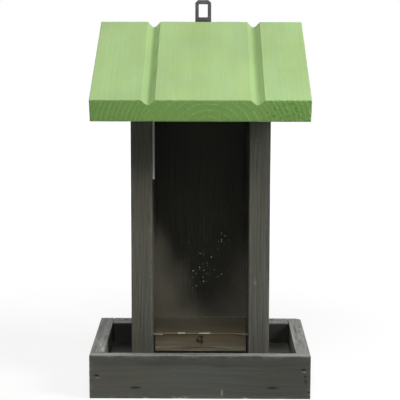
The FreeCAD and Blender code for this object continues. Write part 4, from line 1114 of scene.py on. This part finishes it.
def roof():
    slope = Slope("roof_board")
    grooves = slope.grooves()
    torn_groove, half = grooves[0][:2]
    pith = slope.base - slope.up * ROOF_PITH_BELOW
    pith[0] = ROOF_PITH_X

    def torn(across, along):
        """Slanting tears on the right flank of the left groove."""
        flank = bell(across, torn_groove + half * TEAR_AT, half * TEAR_WIDTH)
        slant = np.stack([across * 0.62 - along * 0.10, along * 0.02, across * 0], 1)
        return flank * np.clip(noise_at(slant, 1.0, 3.3) * 2.6 - 0.1, 0, 1)

    def to_frame(spots):
        carved = spots.copy()
        across = spots[:, 0] + slope.low_x
        drop = groove_depth(across, grooves) + TEAR_DEPTH * torn(across, spots[:, 1])
        carved[:, 2] *= (slope.thick - drop) / slope.thick
        return slope.to_frame(carved)

    def stains(points):
        """Stain and painted shade pooled in grooves and tears, bare flanks, a yellow middle and a speckled
        front end.
        """
        along = (points - slope.base) @ slope.along
        height = (points - slope.base) @ slope.up
        across = points[:, 0]
        upper = ease(height, slope.thick * 0.6, slope.thick * 0.72)
        pooled_and_shade = np.zeros(len(points))
        raw = np.zeros(len(points))
        for (middle, half_width, _), shift, bare in zip(grooves, POOL_SHADE_SHIFTS, BARE_SHARES):
            pooled_and_shade = np.maximum(pooled_and_shade, POOL_SHADE_SHARE * bell(across, middle + shift, POOL_SHADE_WIDTH))
            pooled_and_shade = np.maximum(pooled_and_shade, SMEAR_SHADE_SHARE * bell(across, middle + SMEAR_SHADE_SHIFT, SMEAR_SHADE_WIDTH))
            flank = bell(across, middle + half_width * BARE_AT, half_width * BARE_WIDTH)
            raw = np.maximum(raw, bare * flank)
        pooled_and_shade = pooled_and_shade * (0.8 + 0.5 * noise_at(points, (0.02, 0.05, 0.05), 14.0))
        tears = torn(across, along)
        pooled_and_shade = np.maximum(pooled_and_shade, 0.45 * tears)
        raw = raw * (1 - tears)
        end_face = 1 - ease(along, 0.1, 0.5)
        speck = np.clip(noise_at(points, (0.75, 0.75, 0.45), 26.0) * 3.0 - 0.75, 0, 0.8)
        speck = speck * end_face * ease(across, 40, 58)
        yellow = YELLOW_SHARE * bell(across, YELLOW_X, YELLOW_WIDTH)
        yellow = yellow * (0.55 + 0.6 * noise_at(points, (0.05, 0.02, 0.02), 8.8))
        top = upper * (1 - end_face)
        return {"stain": np.maximum(pooled_and_shade * top, speck), "tint": yellow * top, "chip": raw * top}

    rims = [middle + side * (half_width + off) for middle, half_width, _ in grooves
            for side in (-1, 1) for off in RIM_LINES]
    board("roof_board", "green_roof", GREEN, pith, 43.0, ROOF_STEPS, along=1, body="roof",
          shape=(slope.size, to_frame, slope.turn), axes=(Vector(slope.along), AXES[0]), ragged=ROOF_RAGGED,
          extra={0: np.array(rims) - slope.low_x}, stains=stains)


# Fittings that keep their CAD shape

BEVEL_FROM = math.radians(50)  # edges sharper than this are bevelled
BEVEL_SEGMENTS = 2

# Steel: bright, dull and rust colours; metallic share, roughness, scale of its patches and seed; bevel; nodes
FITTINGS = (
    ("bright_zinc", ((176, 176, 170), (140, 141, 137), (122, 96, 70)), (0.9, 0.42, 0.5, 2.0), 0.15,
     ("hinge_fixed_leaf_right", "hinge_fixed_leaf_left", "hinge_roof_leaf_right", "hinge_roof_leaf_left",
      "hinge_pin_right", "hinge_pin_left")),
    ("dark_zinc", ((104, 106, 106), (78, 80, 80), (88, 82, 74)), (0.35, 0.55, 0.4, 5.0), 0.45,
     ("hanger_plate",)),
    ("screw_steel", ((150, 150, 145), (120, 120, 116), (112, 88, 66)), (0.85, 0.4, 0.7, 8.0), 0.12,
     ("hanger_screws", "hinge_panel_screws", "hinge_roof_screws", "post_screws", "back_panel_screws")),
    ("pin_steel", ((150, 140, 118), (128, 118, 98), (110, 92, 72)), (0.1, 0.6, 0.7, 9.0), 0.12,
     ("pane_rest_pins",)),
    ("staple_steel", ((20, 20, 19), (12, 12, 11), (34, 26, 20)), (0.2, 0.65, 0.8, 12.0), 0.12,
     ("front_wall_staples", "side_wall_staples", "back_wall_staples", "front_corner_brads",
      "seed_board_brads")),
)


def soften(item, width):
    """Joins a fitting's loose faces and bevels its sharp edges."""
    weld = item.modifiers.new("weld", "WELD")
    weld.merge_threshold = WELD * MM
    bevel = item.modifiers.new("bevel", "BEVEL")
    bevel.width = width * MM
    bevel.segments = BEVEL_SEGMENTS
    bevel.limit_method = "ANGLE"
    bevel.angle_limit = BEVEL_FROM


def fittings():
    for name, colours, finish, bevel, nodes in FITTINGS:
        material = steel(name, *[srgb(*colour) for colour in colours], *finish)
        for node in nodes:
            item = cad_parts[node]
            item.data.materials.clear()
            item.data.materials.append(material)
            soften(item, bevel)


# Studio

FLOOR_DROP = 0.0001
FLOOR_HALF = 6.0
FLOOR_NEAR = 0.25  # from here the floor begins to fade to white, in metres from the feeder
FLOOR_FAR = 0.9  # and from here it is white
FLOOR_GLOW = 0.82
AMBIENT = 0.13
FRONT_ROOM = 0.08  # brightness of the room in front, as the pane and the steel mirror it
ROOM_FROM = -0.35  # how far back a mirrored ray leans where the room begins to brighten
ROOM_TO = 0.45  # and where it is white


def seen_share(s):
    """1 for what the camera sees straight, in a mirror or through glass."""
    path = s.add("LightPath")
    share = s.math("MAXIMUM", path.outputs["Is Camera Ray"], path.outputs["Is Glossy Ray"])
    return s.math("MAXIMUM", share, path.outputs["Is Transmission Ray"])


def floor():
    """A pale floor that takes the feeder's shadow and fades to white around it."""
    s = material_shader("pale_floor")
    place = s.add("TexCoord").outputs["Object"]
    grain = s.noise(place, (60.0, 60.0, 60.0), detail=3.0)
    colour = s.mix(grain, srgb(124, 124, 123), srgb(129, 129, 128))
    pale = s.add("BsdfDiffuse", {"Color": colour})
    fade = s.between(s.vector("LENGTH", place), FLOOR_NEAR, FLOOR_FAR, FLOOR_GLOW)
    strength = s.times(seen_share(s), fade)
    glow = s.add("Emission", {"Color": (1, 1, 1, 1), "Strength": strength})
    both = s.add("AddShader", {0: pale.outputs["BSDF"], 1: glow.outputs["Emission"]})
    material = s.end(both.outputs["Shader"])
    corners = [(x * FLOOR_HALF, y * FLOOR_HALF, -FLOOR_DROP) for x, y in ((-1, -1), (1, -1), (1, 1), (-1, 1))]
    mesh = bpy.data.meshes.new("floor")
    mesh.from_pydata(corners, [], [(0, 1, 2, 3)])
    mesh.materials.append(material)
    add_object("floor", mesh)


def studio_world():
    """White behind the feeder, a darker room in front of it for mirrors, and an even soft light all round."""
    world = bpy.data.worlds.new("studio")
    bpy.context.scene.world = world
    s = Shader(world)
    path = s.add("LightPath")
    way = s.add("SeparateXYZ", {0: s.add("TexCoord").outputs["Generated"]})
    room = s.between(way.outputs["Y"], ROOM_FROM, ROOM_TO, FRONT_ROOM)
    mirror = s.add("Mix", {0: path.outputs["Is Glossy Ray"], 2: AMBIENT, 3: room})
    straight = s.math("MAXIMUM", path.outputs["Is Camera Ray"], path.outputs["Is Transmission Ray"])
    strength = s.add("Mix", {0: straight, 2: mirror.outputs[0], 3: 1.0})
    back = s.add("Background", {"Color": (1, 1, 1, 1), "Strength": strength.outputs[0]})
    s.end(back.outputs["Background"], "OutputWorld")


LIT_MIDDLE = Vector((0, 0, 0.13))  # where the lamps point


def lamp(name, place, side, power):
    data = bpy.data.lights.new(name, "AREA")
    data.shape = "SQUARE"
    data.size = side
    data.energy = power
    item = add_object(name, data)
    item.location = place
    item.rotation_euler = (LIT_MIDDLE - Vector(place)).to_track_quat("-Z", "Y").to_euler()
    item.visible_camera = False


# Square lamps: place, side and power
LAMPS = (
    ("right_box", (1.22, -0.61, 0.98), 0.6, 18),
    ("front_box", (-0.1, -1.1, 1.75), 0.8, 16),
    ("back_box", (0.2, 1.6, 0.8), 1.0, 4),
)

PHOTO_SIDE = 400
FOCAL_PIXELS = 1380
SENSOR = 36.0
CAMERA_PLACE = (0.0058, -1.1197, 0.3206)
CAMERA_PITCH = 8.687
CAMERA_YAW = 0.326
CAMERA_ROLL = 0.116
CAMERA_NEAR = 0.05
CAMERA_FAR = 50


def camera():
    data = bpy.data.cameras.new("camera")
    data.sensor_fit = "HORIZONTAL"
    data.sensor_width = SENSOR
    data.lens = FOCAL_PIXELS / PHOTO_SIDE * SENSOR
    data.clip_start = CAMERA_NEAR
    data.clip_end = CAMERA_FAR
    item = add_object("camera", data)
    turn = Matrix.Rotation(math.radians(CAMERA_YAW), 3, "Z")
    tilt = Matrix.Rotation(math.radians(90 - CAMERA_PITCH), 3, "X")
    roll = Matrix.Rotation(math.radians(CAMERA_ROLL), 3, "Z")
    item.rotation_mode = "QUATERNION"
    item.rotation_quaternion = (turn @ tilt @ roll).to_quaternion()
    item.location = CAMERA_PLACE
    bpy.context.scene.camera = item


def studio():
    floor()
    studio_world()
    for values in LAMPS:
        lamp(*values)
    camera()
    bpy.context.scene.view_settings.view_transform = "Standard"


tray_floor()
front_wall()
back_wall()
side_walls()
posts()
panel()
seed_slope()
pane()
film()
roof()
fittings()
studio()
